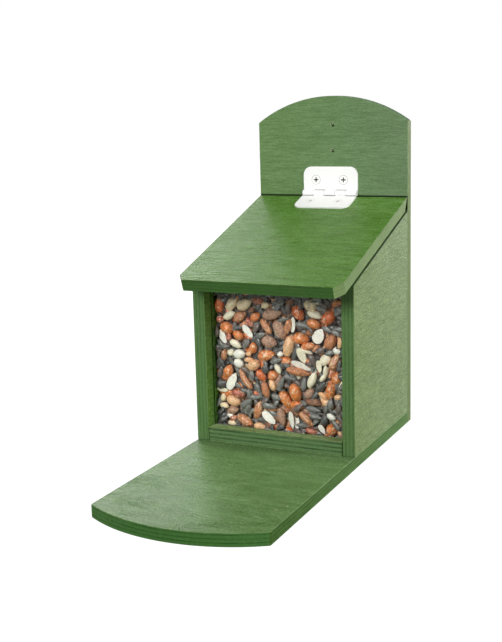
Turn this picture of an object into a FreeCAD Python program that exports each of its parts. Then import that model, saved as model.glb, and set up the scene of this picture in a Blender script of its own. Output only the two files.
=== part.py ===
import FreeCAD, Part
import math
import os

from FreeCAD import Placement, Rotation, Vector

# A garden feeder box for squirrels, in millimetres. X runs to the object's right,
# Y to its back and Z up. The origin is the bottom centre of its bounding box.

# Boards of plywood; the side panels come from a slightly thicker sheet
PLY = 9.5
SIDE_PLY = 10.0
EASE = 0.7
BODY_WIDTH = 133.0

# Backboard: straight sides, with a shallow arch on top
SHOULDER_HEIGHT = 254.0
ARCH_RISE = 21.4

# Base board: runs out in front as a feeding tray, with a bowed front edge
BASE_REACH = 282.0
BASE_BOW = 19.5
BASE_CORNER_RADIUS = 2.5

# Hopper: two side panels, a front rail and a clear pane that slides in grooves
PANEL_DEPTH = 129.4
PANEL_FRONT_HEIGHT = 140.0
PANEL_REAR_HEIGHT = 181.2
RAIL_DEPTH = 10.5
RAIL_HEIGHT = 11.0
PANE_THICKNESS = 2.0
PANE_SET_BACK = 10.8
PANE_PLAY = 0.15
GROOVE_DEPTH = 3.0

# Lid: one board that overhangs the pane and rests on the pane's top edge
LID_WIDTH = 132.4
LID_SHIFT = 0.5
LID_LENGTH = 164.0
LID_REAR_GAP = 1.4
LID_LIFT = 1.8
LID_CORNER_ACROSS = 5.5
LID_CORNER_ALONG = 8.3
LID_REAR_BEVEL = 9.0
LID_REST_GAP = 0.1

# Butt hinge of folded steel
HINGE_LENGTH = 48.5
HINGE_SHIFT = -0.7
LEAF_THICKNESS = 1.2
LEAF_CORNER_RADIUS = 7.0
LEAF_BACK_REACH = 22.0
LEAF_LID_REACH = 26.3
KNUCKLE_RADIUS = 2.4
KNUCKLE_COUNT = 5
KNUCKLE_GAP = 0.3
PIN_RADIUS = 1.2
PIN_CLEARANCE = 0.06
PIN_STAND_OFF = 2.7
HINGE_SCREW_SPACING = 24.6
HINGE_SCREW_SHIFT = -0.7
HINGE_SCREW_LENGTH = 9.0
HINGE_SHANK_RADIUS = 1.6
HINGE_HEAD_RADIUS = 3.6

# Wood screws through the base and the backboard
SCREW_LENGTH = 28.0
SCREW_SHANK_RADIUS = 1.5
SCREW_HEAD_RADIUS = 3.0
SCREW_EDGE = 24.0
SCREW_HEIGHTS = (38.0, 98.0, 158.0)
BASE_SCREW_SPACING = 44.0
SCREW_TIP = 3.0
TIP_RADIUS = 0.25
RECESS_ARM = 2.1
RECESS_WIDTH = 1.1
RECESS_DEPTH = 1.2

# Panel pins that hold the front rail from below
RAIL_PIN_LENGTH = 16.0
RAIL_PIN_RADIUS = 0.8
RAIL_PIN_HEAD_RADIUS = 1.6
RAIL_PIN_HEAD = 0.8
RAIL_PIN_SPACING = 36.0

# Keyhole hanger plate on the back, near the top
HANGER_WIDTH = 14.0
HANGER_HEIGHT = 32.0
HANGER_THICKNESS = 1.5
HANGER_CENTRE_HEIGHT = 241.8
HANGER_SHIFT = 0.6
HANGER_CORNER_RADIUS = 3.0
HANGER_SCREW_SPACING = 21.2
HANGER_SCREW_LENGTH = 12.2
KEYHOLE_RADIUS = 4.0
KEYHOLE_DROP = 2.5
SLOT_RADIUS = 2.2
SLOT_RISE = 2.3
POCKET_WIDTH = 9.0
POCKET_HEIGHT = 14.0
POCKET_DEPTH = 4.5
POCKET_CORNER_RADIUS = 3.0

# Nuts and seeds that fill the hopper, heaped a little in the middle
FEED_FRONT_HEIGHT = 130.0
FEED_MIDDLE_HEIGHT = 134.0
FEED_REAR_HEIGHT = 132.0
FEED_CLEARANCE = 0.2

# Places that follow from the sizes above
TOTAL_DEPTH = BASE_REACH + BASE_BOW + PLY + HANGER_THICKNESS
BACK_Y = TOTAL_DEPTH / 2 - HANGER_THICKNESS
BOARD_Y = BACK_Y - PLY
PANEL_FRONT_Y = BOARD_Y - PANEL_DEPTH
PANE_FRONT_Y = PANEL_FRONT_Y + PANE_SET_BACK
HALF_WIDTH = BODY_WIDTH / 2
INNER_HALF = HALF_WIDTH - SIDE_PLY
SLOPE = math.atan2(PANEL_REAR_HEIGHT - PANEL_FRONT_HEIGHT, PANEL_DEPTH)
SLOPE_DEGREES = math.degrees(SLOPE)


def rim_height(y):
    """Height of the side panels' sloping top edges at a depth y."""
    return PANEL_REAR_HEIGHT - (BOARD_Y - y) * math.tan(SLOPE)


LID_REAR_Y = BOARD_Y - LID_REAR_GAP
LID_REAR_Z = rim_height(LID_REAR_Y) + (LID_LIFT + PLY) / math.cos(SLOPE)
PIN_Y = BOARD_Y - PIN_STAND_OFF
PIN_Z = (
    LID_REAR_Z
    - (LID_REAR_Y - PIN_Y) * math.tan(SLOPE)
    + PIN_STAND_OFF / math.cos(SLOPE)
)
PANE_TOP = rim_height(PANE_FRONT_Y) + LID_LIFT / math.cos(SLOPE) - LID_REST_GAP


def prism(points, direction):
    """Solid between a flat outline and its copy moved along direction."""
    closed = [Vector(*p) for p in points]
    closed.append(closed[0])
    return Part.Face(Part.makePolygon(closed)).extrude(Vector(*direction))


def block(low, high):
    """Rectangular block from its lowest to its highest corner."""
    size = [b - a for a, b in zip(low, high)]
    return Part.makeBox(*size, Vector(*low))


def eased(solid, radius=EASE):
    """The same board with every edge sanded to a small radius."""
    return solid.makeFillet(radius, solid.Edges)


def edges_along(solid, axis, test):
    """Straight edges parallel to an axis whose middle passes a test."""
    found = []
    for edge in solid.Edges:
        if len(edge.Vertexes) != 2:
            continue
        run = edge.Vertexes[1].Point - edge.Vertexes[0].Point
        if run.Length < EASE:
            continue
        if abs(run.normalize().dot(Vector(*axis))) > 0.999 and test(edge.CenterOfMass):
            found.append(edge)
    return found


def cut_all(solid, tools):
    for tool in tools:
        solid = solid.cut(tool)
    return solid


def wood_screw(length, shank_radius, head_radius):
    """Countersunk screw: head face at the origin, point down along -Z."""
    cone = head_radius - shank_radius
    profile = [
        (0, 0, 0),
        (head_radius, 0, 0),
        (shank_radius, 0, -cone),
        (shank_radius, 0, SCREW_TIP - length),
        (TIP_RADIUS, 0, -length),
        (0, 0, -length),
    ]
    points = [Vector(*p) for p in profile]
    points.append(points[0])
    face = Part.Face(Part.makePolygon(points))
    return face.revolve(Vector(0, 0, 0), Vector(0, 0, 1), 360)


def cross_recess():
    """Cross-shaped driver recess, open at the origin and sunk along -Z."""
    half = RECESS_WIDTH / 2
    along = block((-RECESS_ARM, -half, -RECESS_DEPTH), (RECESS_ARM, half, 1))
    across = block((-half, -RECESS_ARM, -RECESS_DEPTH), (half, RECESS_ARM, 1))
    return along.fuse(across)


def placed(shape, position, angle):
    """Copy of a shape, turned about X by angle degrees and then moved."""
    moved = shape.copy()
    moved.Placement = Placement(Vector(*position), Rotation(Vector(1, 0, 0), angle))
    return moved


def screw_set(places, angle, length, shank_radius, head_radius):
    """Blanks that make the holes, and the finished screws as one group."""
    blank = wood_screw(length, shank_radius, head_radius)
    finished = blank.cut(cross_recess())
    blanks = [placed(blank, p, angle) for p in places]
    screws = Part.Compound([placed(finished, p, angle) for p in places])
    return blanks, screws


# Angles that turn a screw's point from straight down
POINT_UP = 180
POINT_FORWARD = -90
POINT_BACK = 90


def base_screws(side):
    """Screws up through the base into the lower edge of one side panel."""
    x = side * (HALF_WIDTH - SIDE_PLY / 2)
    ys = (BOARD_Y - SCREW_EDGE, PANEL_FRONT_Y + SCREW_EDGE)
    places = [(x, y, 0) for y in ys]
    return screw_set(places, POINT_UP, SCREW_LENGTH, SCREW_SHANK_RADIUS, SCREW_HEAD_RADIUS)


def back_screws(side):
    """Screws through the backboard into the rear edge of one side panel."""
    x = side * (HALF_WIDTH - SIDE_PLY / 2)
    places = [(x, BACK_Y, z) for z in SCREW_HEIGHTS]
    return screw_set(places, POINT_FORWARD, SCREW_LENGTH, SCREW_SHANK_RADIUS, SCREW_HEAD_RADIUS)


def back_base_screws():
    """Screws through the backboard into the rear edge of the base."""
    places = [(x, BACK_Y, PLY / 2) for x in (-BASE_SCREW_SPACING, 0, BASE_SCREW_SPACING)]
    return screw_set(places, POINT_FORWARD, SCREW_LENGTH, SCREW_SHANK_RADIUS, SCREW_HEAD_RADIUS)


def rail_pins():
    """Headed pins driven up through the base into the front rail."""
    y = PANEL_FRONT_Y + RAIL_DEPTH / 2
    pins = []
    for x in (-RAIL_PIN_SPACING, RAIL_PIN_SPACING):
        head = Part.makeCylinder(RAIL_PIN_HEAD_RADIUS, RAIL_PIN_HEAD, Vector(x, y, 0))
        shank = Part.makeCylinder(RAIL_PIN_RADIUS, RAIL_PIN_LENGTH, Vector(x, y, 0))
        pins.append(head.fuse(shank).removeSplitter())
    return pins


def hanger_screws():
    """Short screws of the hanger plate, whose points just break the front face."""
    half = HANGER_SCREW_SPACING / 2
    y = BACK_Y + HANGER_THICKNESS
    places = [(HANGER_SHIFT, y, HANGER_CENTRE_HEIGHT + dz) for dz in (-half, half)]
    return screw_set(
        places, POINT_FORWARD, HANGER_SCREW_LENGTH, SCREW_SHANK_RADIUS, SCREW_HEAD_RADIUS
    )


def hanger_pocket():
    """Blind pocket in the backboard that takes the head of the wall screw."""
    half_w = POCKET_WIDTH / 2
    half_h = POCKET_HEIGHT / 2
    low = (HANGER_SHIFT - half_w, BACK_Y - POCKET_DEPTH, HANGER_CENTRE_HEIGHT - half_h)
    high = (HANGER_SHIFT + half_w, BACK_Y + 1, HANGER_CENTRE_HEIGHT + half_h)
    pocket = block(low, high)
    corners = edges_along(pocket, (0, 1, 0), lambda middle: True)
    return pocket.makeFillet(POCKET_CORNER_RADIUS, corners)


def hanger_plate(screw_blanks):
    """Steel plate with rounded corners and a keyhole for a wall screw."""
    half_w = HANGER_WIDTH / 2
    half_h = HANGER_HEIGHT / 2
    low = (HANGER_SHIFT - half_w, BACK_Y, HANGER_CENTRE_HEIGHT - half_h)
    high = (HANGER_SHIFT + half_w, BACK_Y + HANGER_THICKNESS, HANGER_CENTRE_HEIGHT + half_h)
    plate = block(low, high)
    corners = edges_along(plate, (0, 1, 0), lambda middle: True)
    plate = plate.makeFillet(HANGER_CORNER_RADIUS, corners)
    entry_z = HANGER_CENTRE_HEIGHT - KEYHOLE_DROP
    slot_z = HANGER_CENTRE_HEIGHT + SLOT_RISE
    start = BACK_Y - 1
    reach = HANGER_THICKNESS + 2
    back = Vector(0, 1, 0)
    entry = Part.makeCylinder(KEYHOLE_RADIUS, reach, Vector(HANGER_SHIFT, start, entry_z), back)
    top = Part.makeCylinder(SLOT_RADIUS, reach, Vector(HANGER_SHIFT, start, slot_z), back)
    slot = block(
        (HANGER_SHIFT - SLOT_RADIUS, start, entry_z),
        (HANGER_SHIFT + SLOT_RADIUS, start + reach, slot_z),
    )
    return cut_all(plate, [entry.fuse([top, slot])] + screw_blanks)


def backboard(fastener_blanks):
    """Tall board with an arched top, standing behind the base."""
    low_left = Vector(-HALF_WIDTH, BOARD_Y, 0)
    low_right = Vector(HALF_WIDTH, BOARD_Y, 0)
    right = Vector(HALF_WIDTH, BOARD_Y, SHOULDER_HEIGHT)
    crown = Vector(0, BOARD_Y, SHOULDER_HEIGHT + ARCH_RISE)
    left = Vector(-HALF_WIDTH, BOARD_Y, SHOULDER_HEIGHT)
    outline = [
        Part.makeLine(low_left, low_right),
        Part.makeLine(low_right, right),
        Part.Arc(right, crown, left).toShape(),
        Part.makeLine(left, low_left),
    ]
    board = Part.Face(Part.Wire(outline)).extrude(Vector(0, PLY, 0))
    return cut_all(eased(board), [hanger_pocket()] + fastener_blanks)


def base_board(fastener_blanks):
    """Long board under the hopper that ends in front as a bowed tray."""
    front_y = BOARD_Y - BASE_REACH
    rear_left = Vector(-HALF_WIDTH, BOARD_Y, 0)
    rear_right = Vector(HALF_WIDTH, BOARD_Y, 0)
    right = Vector(HALF_WIDTH, front_y, 0)
    apex = Vector(0, front_y - BASE_BOW, 0)
    left = Vector(-HALF_WIDTH, front_y, 0)
    outline = [
        Part.makeLine(rear_left, rear_right),
        Part.makeLine(rear_right, right),
        Part.Arc(right, apex, left).toShape(),
        Part.makeLine(left, rear_left),
    ]
    board = Part.Face(Part.Wire(outline)).extrude(Vector(0, 0, PLY))
    corners = edges_along(board, (0, 0, 1), lambda middle: middle.y < BOARD_Y - PLY)
    board = board.makeFillet(BASE_CORNER_RADIUS, corners)
    return cut_all(eased(board), fastener_blanks)


def side_panel(side, fastener_blanks):
    """Side of the hopper with a sloping top and a groove for the pane."""
    outer = side * HALF_WIDTH
    outline = [
        (outer, PANEL_FRONT_Y, PLY),
        (outer, BOARD_Y, PLY),
        (outer, BOARD_Y, PANEL_REAR_HEIGHT),
        (outer, PANEL_FRONT_Y, PANEL_FRONT_HEIGHT),
    ]
    panel = eased(prism(outline, (-side * SIDE_PLY, 0, 0)))
    inner = side * INNER_HALF
    xs = sorted((inner + side * GROOVE_DEPTH, inner - side * 1.0))
    groove = block(
        (xs[0], PANE_FRONT_Y - PANE_PLAY, PLY),
        (xs[1], PANE_FRONT_Y + PANE_THICKNESS + PANE_PLAY, PANEL_REAR_HEIGHT),
    )
    return cut_all(panel, [groove] + fastener_blanks)


def front_rail(pins):
    """Low strip across the front that keeps the pane and the feed back."""
    rail = block(
        (-INNER_HALF, PANEL_FRONT_Y, PLY),
        (INNER_HALF, PANEL_FRONT_Y + RAIL_DEPTH, PLY + RAIL_HEIGHT),
    )
    lengthwise = edges_along(rail, (1, 0, 0), lambda middle: middle.z > PLY + EASE)
    return cut_all(rail.makeFillet(EASE, lengthwise), pins)


def window_pane():
    """Clear sheet that stands on the base in the panels' grooves."""
    half = INNER_HALF + GROOVE_DEPTH - PANE_PLAY
    return block(
        (-half, PANE_FRONT_Y, PLY),
        (half, PANE_FRONT_Y + PANE_THICKNESS, PANE_TOP),
    )


def lid_point(x, along, depth):
    """Point on the lid: distance along its slope, and depth below its top face."""
    y = LID_REAR_Y - along * math.cos(SLOPE) + depth * math.sin(SLOPE)
    z = LID_REAR_Z - along * math.sin(SLOPE) - depth * math.cos(SLOPE)
    return (x, y, z)


def lid_board(screw_blanks):
    """Sloping lid with clipped front corners and a bevelled rear edge."""
    left = LID_SHIFT - LID_WIDTH / 2
    right = LID_SHIFT + LID_WIDTH / 2
    corner_start = LID_LENGTH - LID_CORNER_ALONG
    outline = [
        (left, 0),
        (right, 0),
        (right, corner_start),
        (right - LID_CORNER_ACROSS, LID_LENGTH),
        (left + LID_CORNER_ACROSS, LID_LENGTH),
        (left, corner_start),
    ]
    top_face = [lid_point(x, along, 0) for x, along in outline]
    through = Vector(*lid_point(0, 0, PLY)) - Vector(*lid_point(0, 0, 0))
    board = prism(top_face, through)
    wedge = prism(
        [
            lid_point(left - 1, 0, 0),
            lid_point(left - 1, LID_REAR_BEVEL, PLY),
            lid_point(left - 1, -PLY, PLY),
        ],
        (LID_WIDTH + 2, 0, 0),
    )
    return cut_all(eased(board.cut(wedge)), screw_blanks)


def knuckle_spans(first):
    """Start and end along X of every second knuckle, from the first one given."""
    pitch = HINGE_LENGTH / KNUCKLE_COUNT
    spans = []
    for index in range(first, KNUCKLE_COUNT, 2):
        start = -HINGE_LENGTH / 2 + index * pitch
        spans.append((start + KNUCKLE_GAP / 2, start + pitch - KNUCKLE_GAP / 2))
    return spans


def hinge_leaf(direction, reach, own_first, bore_radius, screw_blanks):
    """Leaf about a pin on the X axis, its plate running to +Y or -Y.

    The plate lies below the pin, and its countersunk face looks up.
    """
    ys = sorted((0, direction * reach))
    plate = block(
        (-HINGE_LENGTH / 2, ys[0], -PIN_STAND_OFF),
        (HINGE_LENGTH / 2, ys[1], -PIN_STAND_OFF + LEAF_THICKNESS),
    )
    far = edges_along(plate, (0, 0, 1), lambda middle: abs(middle.y) > reach / 2)
    plate = plate.makeFillet(LEAF_CORNER_RADIUS, far)
    half_notch = KNUCKLE_RADIUS + KNUCKLE_GAP
    for start, end in knuckle_spans(1 - own_first):
        notch = block(
            (start - KNUCKLE_GAP, -half_notch, -PIN_STAND_OFF - 1),
            (end + KNUCKLE_GAP, half_notch, 0),
        )
        plate = plate.cut(notch)
    along = Vector(1, 0, 0)
    barrels = []
    for start, end in knuckle_spans(own_first):
        barrels.append(Part.makeCylinder(KNUCKLE_RADIUS, end - start, Vector(start, 0, 0), along))
    leaf = plate.fuse(barrels).removeSplitter()
    bore = Part.makeCylinder(
        bore_radius, HINGE_LENGTH + 2, Vector(-HINGE_LENGTH / 2 - 1, 0, 0), along
    )
    return cut_all(leaf, [bore] + screw_blanks)


def hinge_screw_set(direction, reach):
    """Two screws in the middle of a leaf, in the leaf's own frame."""
    y = direction * reach / 2
    z = -PIN_STAND_OFF + LEAF_THICKNESS
    half = HINGE_SCREW_SPACING / 2
    places = [(HINGE_SCREW_SHIFT + dx, y, z) for dx in (-half, half)]
    return screw_set(places, 0, HINGE_SCREW_LENGTH, HINGE_SHANK_RADIUS, HINGE_HEAD_RADIUS)


def on_hinge(shape, angle):
    """Turn a shape from the hinge's own frame into its place on the box."""
    return placed(Part.Compound([shape]), (HINGE_SHIFT, PIN_Y, PIN_Z), angle).childShapes()[0]


def hinge_pin():
    """Round pin through all the knuckles."""
    return Part.makeCylinder(
        PIN_RADIUS,
        HINGE_LENGTH,
        Vector(HINGE_SHIFT - HINGE_LENGTH / 2, PIN_Y, PIN_Z),
        Vector(1, 0, 0),
    )


def feed_mix():
    """Body of nuts and seeds behind the pane, up to its heaped surface."""
    front = PANE_FRONT_Y + PANE_THICKNESS + FEED_CLEARANCE
    rear = BOARD_Y - FEED_CLEARANCE
    half = INNER_HALF - FEED_CLEARANCE
    outline = [
        (-half, front, PLY),
        (-half, rear, PLY),
        (-half, rear, FEED_REAR_HEIGHT),
        (-half, (front + rear) / 2, FEED_MIDDLE_HEIGHT),
        (-half, front, FEED_FRONT_HEIGHT),
    ]
    return prism(outline, (2 * half, 0, 0))


def build():
    """Every piece of the feeder, by name."""
    base_left_holes, base_left = base_screws(-1)
    base_right_holes, base_right = base_screws(1)
    back_left_holes, back_left = back_screws(-1)
    back_right_holes, back_right = back_screws(1)
    back_base_holes, back_base = back_base_screws()
    hanger_holes, hanger_fixings = hanger_screws()
    pins = rail_pins()

    leaf_back_holes, leaf_back_screws = hinge_screw_set(1, LEAF_BACK_REACH)
    leaf_lid_holes, leaf_lid_screws = hinge_screw_set(-1, LEAF_LID_REACH)
    leaf_back = hinge_leaf(1, LEAF_BACK_REACH, 0, PIN_RADIUS, leaf_back_holes)
    leaf_lid = hinge_leaf(-1, LEAF_LID_REACH, 1, PIN_RADIUS + PIN_CLEARANCE, leaf_lid_holes)
    board_holes = [on_hinge(hole, POINT_BACK) for hole in leaf_back_holes]
    lid_holes = [on_hinge(hole, SLOPE_DEGREES) for hole in leaf_lid_holes]

    back_holes = back_left_holes + back_right_holes + back_base_holes
    pieces = {
        "backboard": backboard(back_holes + hanger_holes + board_holes),
        "base_board": base_board(base_left_holes + base_right_holes + back_base_holes + pins),
        "side_panel_left": side_panel(-1, base_left_holes + back_left_holes),
        "side_panel_right": side_panel(1, base_right_holes + back_right_holes),
        "front_rail": front_rail(pins),
        "window_pane": window_pane(),
        "lid_board": lid_board(lid_holes),
        "hinge_leaf_back": on_hinge(leaf_back, POINT_BACK),
        "hinge_leaf_lid": on_hinge(leaf_lid, SLOPE_DEGREES),
        "hinge_pin": hinge_pin(),
        "hinge_screws_back": on_hinge(leaf_back_screws, POINT_BACK),
        "hinge_screws_lid": on_hinge(leaf_lid_screws, SLOPE_DEGREES),
        "base_screws_left": base_left,
        "base_screws_right": base_right,
        "back_screws_left": back_left,
        "back_screws_right": back_right,
        "back_base_screws": back_base,
        "rail_pins": Part.Compound(pins),
        "hanger_plate": hanger_plate(hanger_holes),
        "hanger_screws": hanger_fixings,
        "feed_mix": feed_mix(),
    }
    return pieces


def main():
    os.makedirs("parts", exist_ok=True)
    for name, shape in build().items():
        count = len(shape.Solids)
        box = shape.BoundBox
        span = f"{box.XLength:.1f} x {box.YLength:.1f} x {box.ZLength:.1f}"
        print(f"{name}: {count} solid(s), {span} mm, valid {shape.isValid()}")
        shape.exportStep(f"parts/{name}.step")
    print(f"pin axis at y {PIN_Y:.3f}, z {PIN_Z:.3f}; slope {SLOPE_DEGREES:.3f} degrees")
    print(f"pane top {PANE_TOP:.3f}; backboard front at y {BOARD_Y:.3f}")


main()
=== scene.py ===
import math

import bmesh
import bpy
import numpy as np
from mathutils import Matrix, Quaternion, Vector
from mathutils.noise import noise_vector


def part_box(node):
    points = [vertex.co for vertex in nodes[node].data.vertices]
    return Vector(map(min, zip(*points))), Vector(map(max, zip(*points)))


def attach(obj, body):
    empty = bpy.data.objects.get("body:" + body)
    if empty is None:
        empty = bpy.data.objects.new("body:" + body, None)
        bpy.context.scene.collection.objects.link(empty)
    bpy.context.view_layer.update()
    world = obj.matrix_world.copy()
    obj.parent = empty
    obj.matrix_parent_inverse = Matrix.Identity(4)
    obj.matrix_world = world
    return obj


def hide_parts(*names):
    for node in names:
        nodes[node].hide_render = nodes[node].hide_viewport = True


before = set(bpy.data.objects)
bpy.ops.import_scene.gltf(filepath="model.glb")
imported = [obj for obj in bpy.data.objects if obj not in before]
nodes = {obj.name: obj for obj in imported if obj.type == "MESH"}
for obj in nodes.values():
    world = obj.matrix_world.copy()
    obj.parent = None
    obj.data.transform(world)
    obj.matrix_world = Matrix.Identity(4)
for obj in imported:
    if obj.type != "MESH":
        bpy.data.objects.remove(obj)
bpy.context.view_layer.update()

# The camera stands in front of the feeder, to its right and a little above the lid.
# Its place, its turn and its focal length are worked out from the corners of the
# boards, so that the render falls on the photograph.
IMAGE_WIDTH = 502
IMAGE_HEIGHT = 642
FOCAL_PIXELS = 1091.85
CENTRE_U = 265.71
CENTRE_V = 314.70
CAMERA_AT = Vector((0.33715, -0.71749, 0.27292))
CAMERA_AZIMUTH = math.radians(24.96)
CAMERA_ELEVATION = math.radians(11.10)
CAMERA_ROLL = math.radians(1.42)
SENSOR_MM = 36.0

towards = Vector((
    -math.sin(CAMERA_AZIMUTH) * math.cos(CAMERA_ELEVATION),
    math.cos(CAMERA_AZIMUTH) * math.cos(CAMERA_ELEVATION),
    -math.sin(CAMERA_ELEVATION),
))
level = towards.cross(Vector((0, 0, 1))).normalized()
image_right = Quaternion(towards, CAMERA_ROLL) @ level
image_up = image_right.cross(towards)

camera_data = bpy.data.cameras.new("camera")
camera_data.sensor_width = SENSOR_MM
camera_data.lens = FOCAL_PIXELS * SENSOR_MM / IMAGE_HEIGHT
camera_data.shift_x = (IMAGE_WIDTH / 2 - CENTRE_U) / IMAGE_HEIGHT
camera_data.shift_y = (CENTRE_V - IMAGE_HEIGHT / 2) / IMAGE_HEIGHT
camera_data.clip_start = 0.01
camera = bpy.data.objects.new("camera", camera_data)
camera_turn = Matrix((image_right, image_up, -towards)).transposed()
camera.matrix_world = Matrix.Translation(CAMERA_AT) @ camera_turn.to_4x4()
bpy.context.scene.collection.objects.link(camera)
bpy.context.scene.camera = camera


# Every board is sawn from birch plywood and brushed with a thin green stain, which
# lets the veneer's figure and the sawn plies show and wears pale on the arrises, where
# a painted highlight adds to the wear.
MM = 0.001
PLY_LAYERS = 7
ARRIS = 0.7 * MM
BOARD_IOR = 1.16
GRAIN_BUMP = 0.6 * MM
# Bare wood, also painted on the arrises as a highlight
BARE_WOOD_AND_HIGHLIGHT = (0.36, 0.43, 0.24, 1)
# Painted shade beside and under chips in the stain
CHIP_SHADE_PAINT = (0.020, 0.030, 0.012, 1)
# Painted shade for the seams between parts and for the tray in front of the rail
PAINTED_SEAM_SHADE = (0.008, 0.018, 0.004, 1)


def add(tree, kind, inputs, **settings):
    """A node of a kind, with its settings, and its sockets filled or linked."""
    node = tree.nodes.new(kind)
    for name, value in settings.items():
        setattr(node, name, value)
    for name, value in inputs.items():
        if isinstance(value, bpy.types.NodeSocket):
            tree.links.new(value, node.inputs[name])
        else:
            node.inputs[name].default_value = value
    return node


def calc(tree, operation, first, second=0.0, third=0.0):
    """The output of one Math node."""
    inputs = {0: first, 1: second, 2: third}
    return add(tree, "ShaderNodeMath", inputs, operation=operation).outputs[0]


def swing(tree, value, amount, base):
    """Base, moved up and down by a noise value that lies around one half."""
    centred = calc(tree, "SUBTRACT", value, 0.5)
    return calc(tree, "MULTIPLY_ADD", centred, amount, base)


def ramp(tree, value, low, high, start=0.0, end=1.0):
    """Value moved smoothly from start to end as it goes from low to high."""
    inputs = {"Value": value, 1: low, 2: high, 3: start, 4: end}
    return add(tree, "ShaderNodeMapRange", inputs, interpolation_type="SMOOTHSTEP").outputs[0]


def blend(tree, factor, first, second, mode="MIX"):
    """The colour output of one Mix node."""
    inputs = {0: factor, 6: first, 7: second}
    return add(tree, "ShaderNodeMix", inputs, data_type="RGBA", blend_type=mode).outputs[2]


def choose(tree, factor, first, second):
    """The value output of one Mix node."""
    return add(tree, "ShaderNodeMix", {0: factor, 2: first, 3: second}).outputs[0]


def noise(tree, vector, per_metre, detail, roughness=0.5, distortion=0.0):
    """Noise with its features per metre along, across and through the board."""
    spread = add(tree, "ShaderNodeMapping", {"Vector": vector, "Scale": per_metre})
    inputs = {
        "Vector": spread.outputs[0],
        "Scale": 1.0,
        "Detail": detail,
        "Roughness": roughness,
        "Distortion": distortion,
    }
    return add(tree, "ShaderNodeTexNoise", inputs).outputs["Fac"]


def new_group(name, inputs, outputs):
    """An empty shader node group with named sockets, and its two end nodes."""
    tree = bpy.data.node_groups.new(name, "ShaderNodeTree")
    for label, kind in inputs:
        tree.interface.new_socket(name=label, in_out="INPUT", socket_type="NodeSocket" + kind)
    for label, kind in outputs:
        tree.interface.new_socket(name=label, in_out="OUTPUT", socket_type="NodeSocket" + kind)
    return tree, tree.nodes.new("NodeGroupInput"), tree.nodes.new("NodeGroupOutput")


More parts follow.
